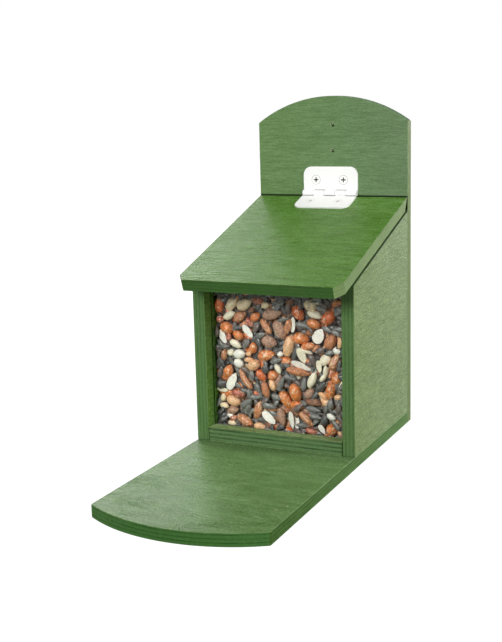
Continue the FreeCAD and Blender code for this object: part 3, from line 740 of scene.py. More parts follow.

# The nuts that lie against the pane, listed one by one: kind, tone, image place of
# its middle, length and width in millimetres, and tilt in degrees
FRONT_NUTS = [
    ("peanut", "rust", 219.5, 304.5, 12.2, 7.5, 84),
    ("blanched", "tan", 232.3, 303.0, 14.0, 8.4, 52),
    ("blanched", "tan", 244.8, 304.0, 14.2, 9.0, 25),
    ("peanut", "maroon", 258.5, 300.5, 8.5, 6.6, 10),
    ("blanched", "tan", 265.7, 305.0, 7.4, 5.6, 15),
    ("blanched", "cream", 229.5, 315.0, 11.4, 6.4, 30),
    ("peanut", "brown", 240.6, 316.0, 11.2, 7.6, 25),
    ("nut", "dark", 252.0, 310.0, 5.2, 4.2, 40),
    ("peanut", "orange", 255.7, 316.5, 9.0, 6.6, 32),
    ("nut", "mauve", 272.4, 314.0, 17.0, 8.6, 14),
    ("peanut", "maroon", 250.2, 322.5, 9.0, 5.4, -48),
    ("peanut", "orange", 227.0, 327.6, 11.4, 9.0, -20),
    ("peanut", "maroon", 220.6, 319.0, 7.0, 5.4, 15),
    ("seed", "ink", 237.9, 327.6, 8.6, 3.4, 4),
    ("split", "white", 247.9, 331.3, 12.4, 5.4, -50),
    ("seed", "plum", 256.3, 327.8, 9.0, 4.2, 52),
    ("split", "white", 223.1, 336.5, 12.0, 5.4, -60),
    ("peanut", "maroon", 229.0, 336.6, 6.0, 5.0, 70),
    ("peanut", "orange", 238.4, 335.2, 9.8, 7.2, -30),
    ("blanched", "cream", 236.2, 343.8, 11.4, 6.2, -24),
    ("seed", "slate", 246.5, 343.3, 10.2, 4.8, 52),
    ("seed", "slate", 223.9, 346.0, 11.2, 4.2, 2),
    ("peanut", "orange", 253.2, 347.7, 9.4, 6.6, 78),
    ("blanched", "cream", 231.0, 352.2, 6.0, 5.2, 50),
    ("blanched", "white", 240.1, 353.8, 11.0, 7.6, 10),
    ("blanched", "white", 239.5, 363.3, 9.4, 7.4, -22),
    ("peanut", "brown", 224.5, 354.4, 8.8, 5.0, 84),
    ("blanched", "peach", 249.3, 353.6, 5.4, 4.2, 30),
    ("blanched", "peach", 249.2, 359.6, 8.0, 4.2, 12),
    ("peanut", "orange", 266.8, 355.0, 15.0, 8.8, 9),
    ("peanut", "peach", 254.0, 365.0, 11.0, 8.2, 35),
    ("nut", "mauve", 269.4, 341.8, 13.0, 9.6, -8),
    ("peanut", "brown", 266.3, 326.5, 14.4, 5.8, -50),
    ("seed", "ink", 258.5, 342.5, 10.0, 4.4, -72),
    ("seed", "slate", 261.0, 335.0, 9.6, 4.2, 18),
    ("seed", "ink", 254.2, 339.8, 9.0, 4.2, 60),
    ("nut", "mauve", 280.0, 329.6, 16.0, 9.2, -64),
    ("blanched", "white", 280.5, 354.0, 5.2, 4.4, 20),
    ("seed", "slate", 276.3, 360.6, 11.6, 4.2, 20),
    ("peanut", "orange", 228.9, 370.2, 10.4, 8.0, 60),
    ("nut", "dark", 290.4, 301.6, 6.6, 5.4, 30),
    ("peanut", "rust", 298.5, 313.0, 13.0, 8.4, -58),
    ("nut", "tan", 311.0, 304.8, 11.4, 9.6, -10),
    ("blanched", "cream", 314.8, 314.4, 12.2, 6.2, -16),
    ("peanut", "rust", 329.2, 317.6, 13.0, 9.6, 48),
    ("peanut", "orange", 314.0, 324.0, 11.0, 7.2, -18),
    ("split", "white", 293.0, 324.6, 12.6, 4.8, 84),
    ("peanut", "brown", 288.2, 326.0, 12.0, 5.6, 78),
    ("seed", "slate", 302.4, 325.6, 11.8, 5.0, -12),
    ("seed", "plum", 310.0, 330.0, 8.4, 3.8, -50),
    ("split", "white", 319.0, 336.0, 12.6, 9.2, 62),
    ("seed", "slate", 327.4, 330.0, 9.6, 4.4, -20),
    ("seed", "slate", 336.4, 333.4, 8.6, 4.0, -30),
    ("nut", "brown", 330.7, 341.6, 13.2, 9.2, 64),
    ("peanut", "peach", 289.2, 345.5, 17.4, 8.8, 76),
    ("peanut", "orange", 301.2, 338.3, 13.2, 9.0, -10),
    ("peanut", "orange", 308.4, 346.2, 12.0, 5.8, 12),
    ("peanut", "brown", 316.2, 348.4, 7.0, 5.2, 30),
    ("blanched", "cream", 306.8, 351.4, 10.6, 3.4, -20),
    ("split", "cream", 302.2, 355.4, 13.4, 6.8, -65),
    ("seed", "ink", 295.0, 354.0, 11.6, 4.4, 80),
    ("seed", "plum", 320.4, 350.6, 9.4, 4.6, 30),
    ("blanched", "cream", 326.3, 359.0, 12.0, 7.8, 50),
    ("peanut", "brown", 334.8, 361.8, 14.0, 7.2, 62),
    ("blanched", "white", 337.2, 351.2, 7.0, 4.6, -25),
    ("peanut", "peach", 339.8, 343.4, 8.0, 3.8, 84),
    ("split", "white", 301.6, 365.6, 17.4, 5.4, -19),
    ("seed", "plum", 312.5, 361.0, 11.2, 5.2, -72),
    ("split", "cream", 319.2, 366.6, 10.0, 4.2, -80),
    ("nut", "brown", 298.3, 371.8, 19.6, 6.6, -9),
    ("split", "white", 232.4, 381.2, 15.2, 7.4, 64),
    ("seed", "ink", 221.2, 383.6, 9.8, 7.0, 20),
    ("split", "cream", 222.2, 389.2, 10.0, 3.8, -6),
    ("seed", "plum", 220.0, 373.4, 8.6, 4.2, 80),
    ("peanut", "brown", 243.2, 374.2, 9.2, 5.2, -60),
    ("peanut", "brown", 246.6, 381.6, 15.2, 5.4, -50),
    ("seed", "slate", 252.0, 376.0, 9.8, 4.4, -80),
    ("peanut", "rust", 261.9, 375.6, 11.0, 7.6, -58),
    ("seed", "ink", 265.4, 368.8, 8.6, 5.4, 80),
    ("peanut", "orange", 273.4, 375.2, 8.8, 8.0, 10),
    ("blanched", "cream", 278.2, 368.8, 8.6, 4.6, -58),
    ("peanut", "peach", 272.8, 385.0, 10.0, 6.0, -76),
    ("nut", "brown", 265.8, 390.0, 13.4, 6.4, -74),
    ("seed", "slate", 258.4, 389.0, 10.0, 4.6, -66),
    ("peanut", "maroon", 239.0, 393.4, 12.0, 6.6, -12),
    ("peanut", "peach", 234.4, 400.6, 13.0, 8.2, -22),
    ("blanched", "tan", 223.8, 396.8, 6.6, 4.6, 84),
    ("blanched", "tan", 224.8, 405.0, 8.0, 5.0, -4),
    ("nut", "mauve", 233.6, 409.6, 9.8, 7.4, 24),
    ("seed", "slate", 246.4, 403.2, 13.0, 5.4, 36),
    ("peanut", "brown", 258.6, 409.4, 15.4, 7.2, 72),
    ("split", "white", 269.2, 417.6, 13.8, 6.4, -40),
    ("seed", "slate", 269.4, 406.4, 12.0, 4.6, -8),
    ("seed", "ink", 223.4, 419.2, 9.4, 4.4, 25),
    ("blanched", "white", 231.2, 415.4, 6.4, 3.6, -20),
    ("peanut", "maroon", 234.2, 418.0, 6.6, 5.0, 30),
    ("blanched", "tan", 232.4, 422.6, 7.6, 4.4, 0),
    ("peanut", "brown", 245.6, 420.4, 15.4, 8.2, -30),
    ("peanut", "peach", 260.2, 426.4, 10.0, 6.4, -12),
    ("peanut", "orange", 295.8, 392.8, 15.6, 9.8, -76),
    ("peanut", "orange", 286.6, 400.0, 16.4, 8.4, -60),
    ("blanched", "cream", 312.6, 379.6, 14.6, 6.0, 66),
    ("peanut", "orange", 336.6, 378.0, 9.4, 7.6, 70),
    ("peanut", "orange", 330.6, 391.0, 13.8, 7.6, 76),
    ("blanched", "peach", 322.8, 395.2, 8.4, 4.4, -36),
    ("peanut", "peach", 338.2, 397.4, 6.4, 4.2, 10),
    ("seed", "ink", 321.0, 387.6, 12.4, 5.2, 52),
    ("seed", "ink", 315.0, 396.0, 11.8, 4.8, 62),
    ("nut", "mauve", 310.0, 393.2, 9.2, 6.8, 50),
    ("nut", "dark", 313.8, 402.4, 13.0, 5.8, 0),
    ("seed", "slate", 313.4, 409.6, 13.6, 5.4, -6),
    ("seed", "slate", 316.4, 417.0, 11.0, 4.2, -12),
    ("split", "white", 292.0, 420.0, 14.4, 4.6, -84),
    ("split", "white", 296.8, 421.4, 12.8, 4.8, -82),
    ("peanut", "brown", 306.6, 418.8, 15.4, 5.8, -42),
    ("peanut", "maroon", 311.4, 431.2, 9.8, 5.0, -14),
    ("split", "white", 322.4, 429.2, 8.4, 4.8, -50),
    ("peanut", "orange", 331.6, 430.2, 9.8, 8.2, 80),
    ("blanched", "white", 331.6, 417.0, 8.2, 4.8, -20),
    ("nut", "mauve", 281.8, 417.0, 15.0, 6.6, -75),
    ("blanched", "cream", 325.8, 371.0, 9.8, 4.0, 86),
    ("blanched", "cream", 323.6, 377.6, 9.0, 3.8, 52),
    ("seed", "slate", 289.6, 378.0, 11.6, 4.0, -6),
    ("seed", "slate", 281.4, 383.0, 10.6, 4.4, 70),
    ("seed", "slate", 304.0, 384.0, 11.4, 4.8, 78),
    ("seed", "plum", 306.0, 398.0, 11.4, 4.8, -70),
    ("seed", "slate", 330.4, 404.0, 9.2, 5.2, 80),
    ("seed", "plum", 338.6, 409.0, 9.0, 4.4, 80),
    ("seed", "ink", 324.6, 420.0, 9.6, 5.4, 70),
    ("seed", "plum", 298.4, 407.6, 9.6, 4.6, 40),
    ("seed", "slate", 276.6, 397.0, 9.6, 4.6, -20),
]

feed_low, feed_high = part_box("feed_mix")
HOPPER_LEFT = feed_low.x
HOPPER_RIGHT = feed_high.x
HOPPER_FRONT = pane_back
HOPPER_BACK = feed_high.y
HOPPER_FLOOR = base_top
THICKNESS = {"peanut": 0.92, "blanched": 0.88, "split": 0.90, "seed": 0.58, "nut": 0.86}
PANE_GAP = 0.1 * MM
HEAP_RISE = 3.5 * MM


def on_pane(u, v, set_back):
    """Point that an image place shows, on a plane set back behind the pane."""
    across = (u - CENTRE_U) / FOCAL_PIXELS
    down = (v - CENTRE_V) / FOCAL_PIXELS
    ray = towards + image_right * across - image_up * down
    reach = (HOPPER_FRONT + set_back - CAMERA_AT.y) / ray.y
    return CAMERA_AT + ray * reach


def lying(facing, side, tilt, rock, roll):
    """Turn of a kernel whose flat side faces a way, tilted from a side direction."""
    upward = facing.cross(side)
    along = side * math.cos(tilt) + upward * math.sin(tilt)
    across = facing.cross(along)
    turn = Matrix((along, across, facing)).transposed().to_quaternion()
    return turn @ Quaternion(Y_AXIS, rock) @ Quaternion(X_AXIS, roll)


def half_reach(turn, size, direction):
    """How far an egg of a size reaches from its middle in a direction."""
    local = turn.conjugated() @ direction
    return 0.5 * math.sqrt(sum((s * c) ** 2 for s, c in zip(size, local)))


def heap_height(y):
    """Height of the heap, highest in the middle between pane and backboard."""
    share = (y - HOPPER_FRONT) / (HOPPER_BACK - HOPPER_FRONT)
    return feed_high.z - abs(2 * share - 1) * HEAP_RISE


def kept_inside(place, turn, size):
    """The place moved so that the kernel stays inside the hopper and the heap."""
    x_reach = half_reach(turn, size, X_AXIS)
    y_reach = half_reach(turn, size, Y_AXIS)
    z_reach = half_reach(turn, size, Z_AXIS)
    x = min(max(place.x, HOPPER_LEFT + x_reach), HOPPER_RIGHT - x_reach)
    y = min(max(place.y, HOPPER_FRONT + y_reach + PANE_GAP), HOPPER_BACK - y_reach)
    z = min(max(place.z, HOPPER_FLOOR + z_reach), heap_height(y) - z_reach)
    return Vector((x, y, z))


poured = {kind: [] for kind in KERNEL_FORMS}


def drop(kind, tone, place, turn, size, shape):
    """Note one kernel, moved inside the hopper, and say where it lies."""
    inside = kept_inside(place, turn, size)
    poured[kind].append((inside, turn, size, TONES[tone], shape))
    return inside


# A nut that lies across a larger one sinks behind it, the more so the closer they are
SINK_RATE = 5.0 * MM
SINK_MOST = 2.5 * MM
draw = np.random.default_rng(41)
against_pane = []
for kind, tone, u, v, length, width, tilt in sorted(FRONT_NUTS, key=lambda nut: -nut[4] * nut[5]):
    size = Vector((length, width, width * THICKNESS[kind])) * MM
    rock, roll = draw.uniform(-0.12, 0.12), draw.uniform(-0.3, 0.3)
    turn = lying(-Y_AXIS, X_AXIS, math.radians(tilt), rock, roll)
    spot = on_pane(u, v, 0)
    sunk = 0.0
    for other, other_size, _ in against_pane:
        apart = (other - spot).length / (0.25 * (sum(size.xy) + sum(other_size.xy)))
        sunk = max(sunk, (1 - apart) * SINK_RATE)
    depth = half_reach(turn, size, Y_AXIS) + min(sunk, SINK_MOST)
    shape = int(draw.integers(len(KERNEL_FORMS[kind])))
    lies_at = drop(kind, tone, on_pane(u, v, depth), turn, size, shape)
    against_pane.append((Vector((lies_at.x, HOPPER_FRONT, lies_at.z)), size, (lies_at, turn)))

# The rest of the feed is poured at random: each kind's share, tones, and usual length
# and width in millimetres
KIND_SHARE = {"seed": 0.60, "peanut": 0.18, "blanched": 0.09, "split": 0.05, "nut": 0.08}
KIND_TONES = {
    "seed": ("ink", "slate", "plum", "slate"),
    "peanut": ("orange", "brown", "rust", "peach"),
    "blanched": ("cream", "white", "tan"),
    "split": ("cream", "white"),
    "nut": ("mauve", "brown", "dark"),
}
KIND_SIZE = {
    "seed": (10.5, 4.6),
    "peanut": (12.5, 7.6),
    "blanched": (11.5, 6.2),
    "split": (12.0, 6.4),
    "nut": (14.0, 8.4),
}
SEED_HALF = 1.3 * MM
TUMBLE = 0.3


def any_kernel(seeds_only):
    """A random kind with its size, from the feed's usual shares."""
    kinds = list(KIND_SHARE)
    kind = "seed" if seeds_only else kinds[int(draw.choice(len(kinds), p=list(KIND_SHARE.values())))]
    length, width = (value * draw.uniform(0.85, 1.12) for value in KIND_SIZE[kind])
    return kind, Vector((length, width, width * THICKNESS[kind])) * MM


def drop_any(place, facing, seeds_only):
    """One kernel of a random kind, lying about flat against a surface."""
    kind, size = any_kernel(seeds_only)
    tilt = draw.uniform(0, 2 * math.pi)
    turn = lying(facing, X_AXIS, tilt, draw.normal(0, TUMBLE), draw.normal(0, TUMBLE))
    place = place - facing * max(0.0, half_reach(turn, size, facing) - SEED_HALF)
    tones = KIND_TONES[kind]
    forms = len(KERNEL_FORMS[kind])
    shape = forms + int(draw.integers(forms))
    drop(kind, tones[int(draw.integers(len(tones)))], place, turn, size, shape)


NUT_MARGIN = 1.6 * MM
CLEAR_OF_NUT = 1.2 * MM


def behind_nuts(spot):
    """How far back a kernel has to lie to be behind the nuts against the pane."""
    needed = 0.0
    for _, size, (centre, turn) in against_pane:
        local = turn.conjugated() @ (spot - centre)
        share = math.hypot(local.x / (size.x / 2 + NUT_MARGIN), local.y / (size.y / 2 + NUT_MARGIN))
        if share < 1:
            needed = max(needed, centre.y - HOPPER_FRONT + size.z * 0.3 + CLEAR_OF_NUT)
    return needed


# Layers from the pane backwards, then from the top of the heap down
SEED_PITCH = 5.2 * MM
TOP_PITCH = 7.0 * MM
WALL_GAP = 3 * MM
FRONT_LAYERS = (1.8 * MM, 3.6 * MM, 6.5 * MM, 10.5 * MM)
TOP_LAYERS = (3.0 * MM, 7.5 * MM)
for layer, set_back in enumerate(FRONT_LAYERS):
    for z in np.arange(HOPPER_FLOOR + WALL_GAP, feed_high.z, SEED_PITCH):
        for x in np.arange(HOPPER_LEFT + WALL_GAP, HOPPER_RIGHT, SEED_PITCH):
            shake = draw.uniform(-1, 1, 3) * SEED_PITCH * 0.45
            spot = Vector((x + shake[0], HOPPER_FRONT + set_back + 0.2 * abs(shake[1]), z + shake[2]))
            needed = behind_nuts(spot)
            if layer == 0 and needed > set_back:
                continue
            spot.y = max(spot.y, HOPPER_FRONT + needed)
            drop_any(spot, -Y_AXIS, layer < 1 or draw.uniform() < 0.5)
for layer, sunk in enumerate(TOP_LAYERS):
    for y in np.arange(HOPPER_FRONT + 4 * MM, HOPPER_BACK, TOP_PITCH):
        for x in np.arange(HOPPER_LEFT + WALL_GAP, HOPPER_RIGHT, TOP_PITCH):
            spot = Vector((x, y, heap_height(y) - sunk))
            spot += Vector(draw.uniform(-1, 1, 3)) * TOP_PITCH * 0.4
            drop_any(spot, Z_AXIS, layer == 1)


def pouring_tree():
    """Geometry nodes: one kernel of a collection on each point, sized and turned."""
    tree = bpy.data.node_groups.new("pour_kernels", "GeometryNodeTree")
    sockets = (("Geometry", "Geometry"), ("Kernels", "Collection"), ("Finish", "Material"))
    for name, kind in sockets:
        tree.interface.new_socket(name=name, in_out="INPUT", socket_type="NodeSocket" + kind)
    tree.interface.new_socket(name="Geometry", in_out="OUTPUT", socket_type="NodeSocketGeometry")
    given = tree.nodes.new("NodeGroupInput")
    result = tree.nodes.new("NodeGroupOutput")
    kernels = add(
        tree,
        "GeometryNodeCollectionInfo",
        {"Collection": given.outputs["Kernels"], "Separate Children": True, "Reset Children": True},
    )
    read = {}
    for name, kind in (("turn", "QUATERNION"), ("size", "FLOAT_VECTOR"), ("shape", "INT")):
        node = add(tree, "GeometryNodeInputNamedAttribute", {"Name": name}, data_type=kind)
        read[name] = node.outputs["Attribute"]
    placed = add(
        tree,
        "GeometryNodeInstanceOnPoints",
        {
            "Points": given.outputs["Geometry"],
            "Instance": kernels.outputs[0],
            "Pick Instance": True,
            "Instance Index": read["shape"],
            "Rotation": read["turn"],
            "Scale": read["size"],
        },
    )
    real = add(tree, "GeometryNodeRealizeInstances", {"Geometry": placed.outputs[0]})
    finish = {"Geometry": real.outputs[0], "Material": given.outputs["Finish"]}
    finished = add(tree, "GeometryNodeSetMaterial", finish)
    tree.links.new(finished.outputs[0], result.inputs["Geometry"])
    return tree


pour_kernels = pouring_tree()


def set_input(modifier, name, value):
    """Fill a modifier's input by its socket's identifier."""
    for item in modifier.node_group.interface.items_tree:
        if item.in_out == "INPUT" and item.name == name:
            modifier[item.identifier] = value


def plain_copy(source, name):
    """The evaluated object as a plain mesh object, and the source removed."""
    bpy.context.view_layer.update()
    evaluated = source.evaluated_get(bpy.context.evaluated_depsgraph_get())
    mesh = bpy.data.meshes.new_from_object(evaluated)
    bpy.data.objects.remove(source)
    mesh.name = name
    piece = bpy.data.objects.new(name, mesh)
    bpy.context.scene.collection.objects.link(piece)
    return piece


def pour(kind, finish):
    """All kernels of one kind, as one plain mesh."""
    collection = bpy.data.collections.new(kind + "_kernels")
    forms = KERNEL_FORMS[kind]
    grains = [(NEAR_RINGS, NEAR_SEGMENTS)] * len(forms) + [(FAR_RINGS, FAR_SEGMENTS)] * len(forms)
    for index, ((rings, segments), form) in enumerate(zip(grains, forms * 2)):
        mesh = kernel_shape(f"{kind}_{index}", rings, segments, *form)
        collection.objects.link(bpy.data.objects.new(mesh.name, mesh))
    rows = poured[kind]
    points = bpy.data.meshes.new(kind + "_points")
    points.from_pydata([row[0] for row in rows], [], [])
    columns = (
        ("turn", "QUATERNION", "value", [c for row in rows for c in row[1]]),
        ("size", "FLOAT_VECTOR", "vector", [c for row in rows for c in row[2]]),
        ("tint", "FLOAT_COLOR", "color", [c for row in rows for c in (*row[3], 1.0)]),
        ("shape", "INT", "value", [row[4] for row in rows]),
    )
    for name, data_type, field, values in columns:
        points.attributes.new(name, data_type, "POINT").data.foreach_set(field, values)
    source = bpy.data.objects.new(kind + "_source", points)
    bpy.context.scene.collection.objects.link(source)
    modifier = source.modifiers.new("pour", "NODES")
    modifier.node_group = pour_kernels
    set_input(modifier, "Kernels", collection)
    set_input(modifier, "Finish", finish)
    return plain_copy(source, kind + "_feed")


OWN_PATTERN = (90.0, 90.0, 90.0)
BARE_KERNEL = (0.92, 0.74, 0.50, 1)
RED_SKIN = (0.50, 0.150, 0.050, 1)


def kernel_material(name, roughness, streaks, mottling, speckle, flakes, bump_mm, cut=False):
    """A kernel's skin: its own tint, streaked along its length, flaked in places."""
    material, tree, shader, output = new_material(name)
    tint = add(tree, "ShaderNodeAttribute", {}, attribute_name="tint").outputs["Color"]
    local = add(tree, "ShaderNodeAttribute", {}, attribute_name="local").outputs["Vector"]
    place = tree.nodes.new("ShaderNodeTexCoord").outputs["Object"]
    own = add(
        tree,
        "ShaderNodeVectorMath",
        {0: place, 1: OWN_PATTERN, 2: local},
        operation="MULTIPLY_ADD",
    ).outputs[0]
    veins = noise(tree, own, (1.6, 10.0, 10.0), 3.0, 0.6, 0.4)
    mottle = noise(tree, place, (420.0, 420.0, 420.0), 3.0, 0.6)
    grit = noise(tree, place, (1300.0, 1300.0, 1300.0), 1.0)
    tone = swing(tree, veins, streaks, 1.0)
    tone = swing(tree, mottle, mottling, tone)
    tone = swing(tree, grit, speckle, tone)
    color = blend(tree, 1.0, tint, tone, "MULTIPLY")
    bare = ramp(tree, noise(tree, own, (3.0, 4.0, 4.0), 3.0, 0.6), 0.66 - flakes, 0.70 - flakes)
    color = blend(tree, calc(tree, "MULTIPLY", bare, 0.7), color, BARE_KERNEL)
    if cut:
        depth = add(tree, "ShaderNodeSeparateXYZ", {"Vector": local}).outputs["Z"]
        skin = ramp(tree, depth, 0.02, 0.09, 1.0, 0.0)
        color = blend(tree, skin, color, RED_SKIN)
    tree.links.new(color, shader.inputs["Base Color"])
    tree.links.new(swing(tree, mottle, 0.35, roughness), shader.inputs["Roughness"])
    height = calc(tree, "MULTIPLY_ADD", veins, 0.6, calc(tree, "MULTIPLY", mottle, 0.5))
    bump = add(tree, "ShaderNodeBump", {"Height": height, "Distance": bump_mm * MM})
    tree.links.new(bump.outputs[0], shader.inputs["Normal"])
    return material


# Of each kind: roughness, streaks, mottling, speckle, flaking and relief in millimetres
FINISHES = {
    "peanut": kernel_material("peanut_skin", 0.36, 1.6, 1.1, 1.2, 0.10, 0.40),
    "blanched": kernel_material("blanched_kernel", 0.48, 0.45, 0.5, 0.5, -0.2, 0.30),
    "split": kernel_material("split_kernel", 0.50, 0.40, 0.5, 0.5, -0.2, 0.30, cut=True),
    "seed": kernel_material("seed_husk", 0.42, 1.6, 1.0, 1.8, -0.2, 0.35),
    "nut": kernel_material("nut_skin", 0.55, 1.6, 1.7, 1.8, 0.03, 0.70),
}
for kind, finish in FINISHES.items():
    piece = pour(kind, finish)
    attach(piece, "box")
    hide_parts("feed_mix")


# Under the loose nuts the hopper is imported solid. A heaped core stands for the
# feed that nothing can see; it is painted near black as painted shade in the gaps, with
# crumbs and husks on its skin.
CORE_SET_BACK = 11.0 * MM
CORE_SUNK = 9.0 * MM
CORE_CELLS = 22
CORE_ROUGH = 1.6 * MM
# Painted shade for the depths of the heap
CORE_PAINTED_SHADE = (0.014, 0.012, 0.013, 1)
CORE_CRUMB = (0.08, 0.035, 0.022, 1)


def feed_core():
    """A block with a crumbly skin, heaped on top as the feed is."""
    low = Vector((HOPPER_LEFT, HOPPER_FRONT + CORE_SET_BACK, HOPPER_FLOOR))
    high = Vector((HOPPER_RIGHT, HOPPER_BACK, 0))
    work = bmesh.new()
    bmesh.ops.create_cube(work, size=1.0)
    bmesh.ops.subdivide_edges(work, edges=work.edges, cuts=CORE_CELLS, use_grid_fill=True)
    for vertex in work.verts:
        share = vertex.co + Vector((0.5, 0.5, 0.5))
        y = low.y + share.y * (high.y - low.y)
        top = heap_height(y) - CORE_SUNK
        spot = Vector((low.x + share.x * (high.x - low.x), y, low.z + share.z * (top - low.z)))
        dent = noise_vector(spot * 170.0) * CORE_ROUGH
        centre = Vector((0, (low.y + high.y) / 2, (low.z + top) / 2))
        inwards = (centre - spot).normalized()
        vertex.co = spot + inwards * abs(dent.x)
    mesh = bpy.data.meshes.new("feed_core")
    work.to_mesh(mesh)
    work.free()
    piece = bpy.data.objects.new("feed_core", mesh)
    bpy.context.scene.collection.objects.link(piece)
    return piece


core = feed_core()
core_crumbs, tree, shader, output = new_material("core_crumbs")
place = tree.nodes.new("ShaderNodeTexCoord").outputs["Object"]
crumbs = noise(tree, place, (260.0, 260.0, 260.0), 4.0, 0.6)
color = blend(tree, ramp(tree, crumbs, 0.45, 0.65), CORE_PAINTED_SHADE, CORE_CRUMB)
tree.links.new(color, shader.inputs["Base Color"])
tree.links.new(swing(tree, crumbs, 0.3, 0.8), shader.inputs["Roughness"])
core.data.materials.append(core_crumbs)
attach(core, "box")
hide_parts("feed_mix")


# The butt hinge is pressed from steel under a pale, almost matt zinc plating, and
# screwed to the backboard and the lid. A fine dark line rings each screw head.
SEAT_RADIUS = 3.5 * MM
SEAT_SEAM = (0.22, 0.22, 0.21, 1)
ZINC = (0.870, 0.863, 0.853)
LEAF_METAL = 0.10


def plated_steel(name, color, roughness, grime, metal, recess=None, seats=(), ring=0.75):
    """Plated steel: fine rolling marks, dull patches, a dark ring painted round a screw's seat, and painted
    shade in its recess.
    """
    material, tree, shader, output = new_material(name)
    place = tree.nodes.new("ShaderNodeTexCoord").outputs["Object"]
    marks = noise(tree, place, (90.0, 1800.0, 1800.0), 3.0, 0.6)
    patches = noise(tree, place, (70.0, 70.0, 70.0), 4.0, 0.6)
    dull = ramp(tree, patches, 0.5, 0.75)
    tone = calc(tree, "MULTIPLY_ADD", dull, -grime, 1.0)
    tone = swing(tree, marks, 0.10, tone)
    shade = blend(tree, 1.0, (*color, 1), tone, "MULTIPLY")
    # A dark ring painted round each screw's seat
    for centre, outward in seats:
        offset = add(tree, "ShaderNodeVectorMath", {0: place, 1: centre}, operation="SUBTRACT").outputs[0]
        round_axis = add(
            tree, "ShaderNodeVectorMath", {0: offset, 1: outward}, operation="CROSS_PRODUCT"
        ).outputs[0]
        reach = add(tree, "ShaderNodeVectorMath", {0: round_axis}, operation="LENGTH").outputs["Value"]
        off_seam = calc(tree, "ABSOLUTE", calc(tree, "SUBTRACT", reach, SEAT_RADIUS))
        seam = ramp(tree, off_seam, 0.3 * MM, 0.7 * MM, ring, 0.0)
        shade = blend(tree, seam, shade, SEAT_SEAM)
    # Painted shade in the recess of the head
    if recess:
        outward, level, recess_shade = recess
        above = add(
            tree, "ShaderNodeVectorMath", {0: place, 1: outward}, operation="DOT_PRODUCT"
        ).outputs["Value"]
        shaded_recess = ramp(tree, above, level - 0.9 * MM, level - 0.3 * MM, 1.0, 0.0)
        shade = blend(tree, shaded_recess, shade, (recess_shade, recess_shade, 0.9 * recess_shade, 1))
    tree.links.new(shade, shader.inputs["Base Color"])
    rough = swing(tree, marks, 0.14, roughness)
    rough = calc(tree, "MULTIPLY_ADD", dull, 0.10, rough)
    tree.links.new(rough, shader.inputs["Roughness"])
    bump = add(tree, "ShaderNodeBump", {"Height": marks, "Distance": 0.02 * MM})
    tree.links.new(bump.outputs[0], shader.inputs["Normal"])
    shader.inputs["Metallic"].default_value = metal
    return material


def face_level(node, outward):
    """How far a piece reaches in a direction."""
    return max(outward.dot(vertex.co) for vertex in nodes[node].data.vertices)


def screw_heads(node, outward):
    """The middles of the heads of two screws that stand side by side."""
    level = face_level(node, outward) - 0.01 * MM
    tops = [vertex.co for vertex in nodes[node].data.vertices if outward.dot(vertex.co) > level]
    split = middle(node).x
    heads = []
    for rim in ([co for co in tops if co.x < split], [co for co in tops if co.x > split]):
        low, high = (Vector(pick(column) for column in zip(*rim)) for pick in (min, max))
        heads.append(((low + high) / 2, outward))
    return heads


def hinge_finish(name, seats=(), ring=0.75):
    """The zinc plating of the hinge, with a dark ring painted round each screw's seat."""
    return plated_steel(name, ZINC, 0.55, 0.03, LEAF_METAL, None, seats, ring)


back_heads = screw_heads("hinge_screws_back", -Y_AXIS)
lid_heads = screw_heads("hinge_screws_lid", lid_normal)
dress("hinge_leaf_back", hinge_finish("back_leaf_steel", back_heads))
dress("hinge_leaf_lid", hinge_finish("lid_leaf_steel", lid_heads, 0.35))
dress("hinge_pin", hinge_finish("hinge_pin_steel"))


# Countersunk wood screws hold the boards, the hinge and the hanger, and panel pins
# hold the rail. All are plated steel, and painted shade sits in the crosses of the screws.
SCREW_STEEL = (0.88, 0.87, 0.85)
PIN_STEEL = (0.72, 0.71, 0.69)

# Of each set: which way its heads face, how pale the painted shade in its crosses is, and how metallic it
# looks
SCREW_SETS = (
    ("hinge_screws_back", -Y_AXIS, 0.02, 0.15),
    ("hinge_screws_lid", lid_normal, 0.42, 0.15),
    ("hanger_screws", Y_AXIS, 0.02, 0.85),
    ("back_screws_left", Y_AXIS, 0.02, 0.85),
    ("back_screws_right", Y_AXIS, 0.02, 0.85),
    ("back_base_screws", Y_AXIS, 0.02, 0.85),
    ("base_screws_left", -Z_AXIS, 0.02, 0.85),
    ("base_screws_right", -Z_AXIS, 0.02, 0.85),
)
for node, outward, recess_shade, metal in SCREW_SETS:
    recess = (outward, face_level(node, outward), recess_shade)
    dress(node, plated_steel(node + "_steel", SCREW_STEEL, 0.45, 0.06, metal, recess))
dress("rail_pins", plated_steel("pin_steel", PIN_STEEL, 0.38, 0.15, 1.0))


# The hanger plate is a keyhole plate, screwed on the back near the top. It is stamped
# from thicker and duller plated steel than the hinge.
HANGER_STEEL = (0.66, 0.65, 0.62)
dress("hanger_plate", plated_steel("hanger_steel", HANGER_STEEL, 0.38, 0.20, 1.0))


# A pale floor and even studio light from four soft lamps. The backdrop is white, and the
# ceiling that mirrors see is dimmer, with one window behind the feeder on its left.
FLOOR_HALF = 4.0
FLOOR_TONE = (0.20, 0.20, 0.20, 1)
WHITE = (1, 1, 1, 1)
WORLD_LIGHT = 0.075
FLOOR_LIFT_NEAR = 0.90
FLOOR_LIFT_FAR = 1.0
BACKDROP_TOP = 0.66
CEILING_START = 0.78
CEILING_LIGHT = 0.05


def shown_rays(tree):
    """Whether a ray comes from the camera, a mirror or glass."""
    path = tree.nodes.new("ShaderNodeLightPath")
    straight = calc(
        tree, "MAXIMUM", path.outputs["Is Camera Ray"], path.outputs["Is Transmission Ray"]
    )
    return straight, path.outputs["Is Glossy Ray"]


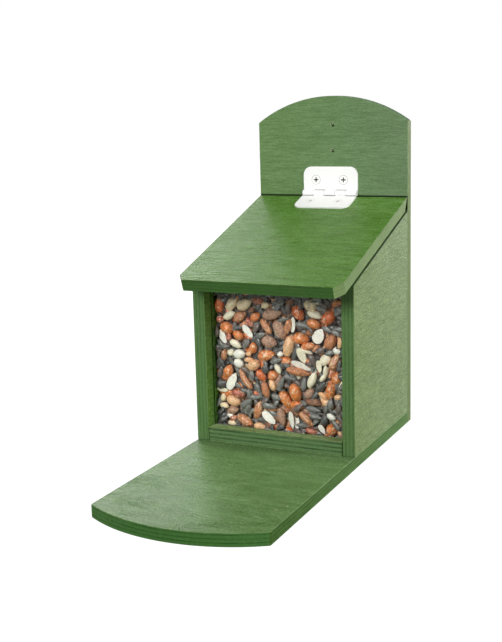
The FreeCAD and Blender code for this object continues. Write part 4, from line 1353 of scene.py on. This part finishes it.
floor_mesh = bpy.data.meshes.new("floor")
corners = ((-1, -1), (1, -1), (1, 1), (-1, 1))
floor_mesh.from_pydata([(x * FLOOR_HALF, y * FLOOR_HALF, 0) for x, y in corners], [], [(0, 1, 2, 3)])
floor = bpy.data.objects.new("floor", floor_mesh)
bpy.context.scene.collection.objects.link(floor)
floor_paint, tree, shader, output = new_material("floor_paint")
shader.inputs["Base Color"].default_value = FLOOR_TONE
shader.inputs["Roughness"].default_value = 0.9
straight, mirrored = shown_rays(tree)
place = tree.nodes.new("ShaderNodeTexCoord").outputs["Object"]
reach = add(tree, "ShaderNodeVectorMath", {0: place}, operation="LENGTH").outputs["Value"]
lift = ramp(tree, reach, 0.4, 1.2, FLOOR_LIFT_NEAR, FLOOR_LIFT_FAR)
lift = calc(tree, "MULTIPLY", calc(tree, "MAXIMUM", straight, mirrored), lift)
glow = add(tree, "ShaderNodeEmission", {"Color": WHITE, "Strength": lift})
both = add(tree, "ShaderNodeAddShader", {0: shader.outputs[0], 1: glow.outputs[0]})
tree.links.new(both.outputs[0], output.inputs["Surface"])
floor_mesh.materials.append(floor_paint)

world = bpy.data.worlds.new("studio")
bpy.context.scene.world = world
world.use_nodes = True
tree = world.node_tree
straight, mirrored = shown_rays(tree)
facing = tree.nodes.new("ShaderNodeTexCoord").outputs["Generated"]
rise = add(tree, "ShaderNodeSeparateXYZ", {"Vector": facing}).outputs["Z"]
mirror_light = ramp(tree, rise, BACKDROP_TOP, CEILING_START, 1.0, CEILING_LIGHT)
strength = choose(tree, mirrored, WORLD_LIGHT, mirror_light)
strength = choose(tree, straight, strength, 1.0)
tree.nodes["Background"].inputs["Color"].default_value = WHITE
tree.links.new(strength, tree.nodes["Background"].inputs["Strength"])


def soft_box(name, place, width, height, power):
    """A flat lamp that faces the feeder."""
    data = bpy.data.lights.new(name, "AREA")
    data.shape = "RECTANGLE"
    data.size = width
    data.size_y = height
    data.energy = power
    lamp = bpy.data.objects.new(name, data)
    lamp.location = place
    aim = Vector((0, 0, 0.1)) - Vector(place)
    lamp.rotation_euler = aim.to_track_quat("-Z", "Y").to_euler()
    bpy.context.scene.collection.objects.link(lamp)


soft_box("front_lamp", (-0.35, -1.90, 1.05), 0.9, 0.9, 37.0)
soft_box("top_lamp", (0.1, -0.3, 2.0), 1.2, 1.2, 7.0)
soft_box("side_lamp", (1.9, -0.04, 0.9), 1.3, 1.5, 40.0)
soft_box("back_lamp", (0.30, 2.00, 0.40), 0.8, 0.6, 10.0)
soft_box("window", (-1.14, 1.31, 0.92), 0.70, 1.05, 10.8)

bpy.context.scene.view_settings.view_transform = "Standard"
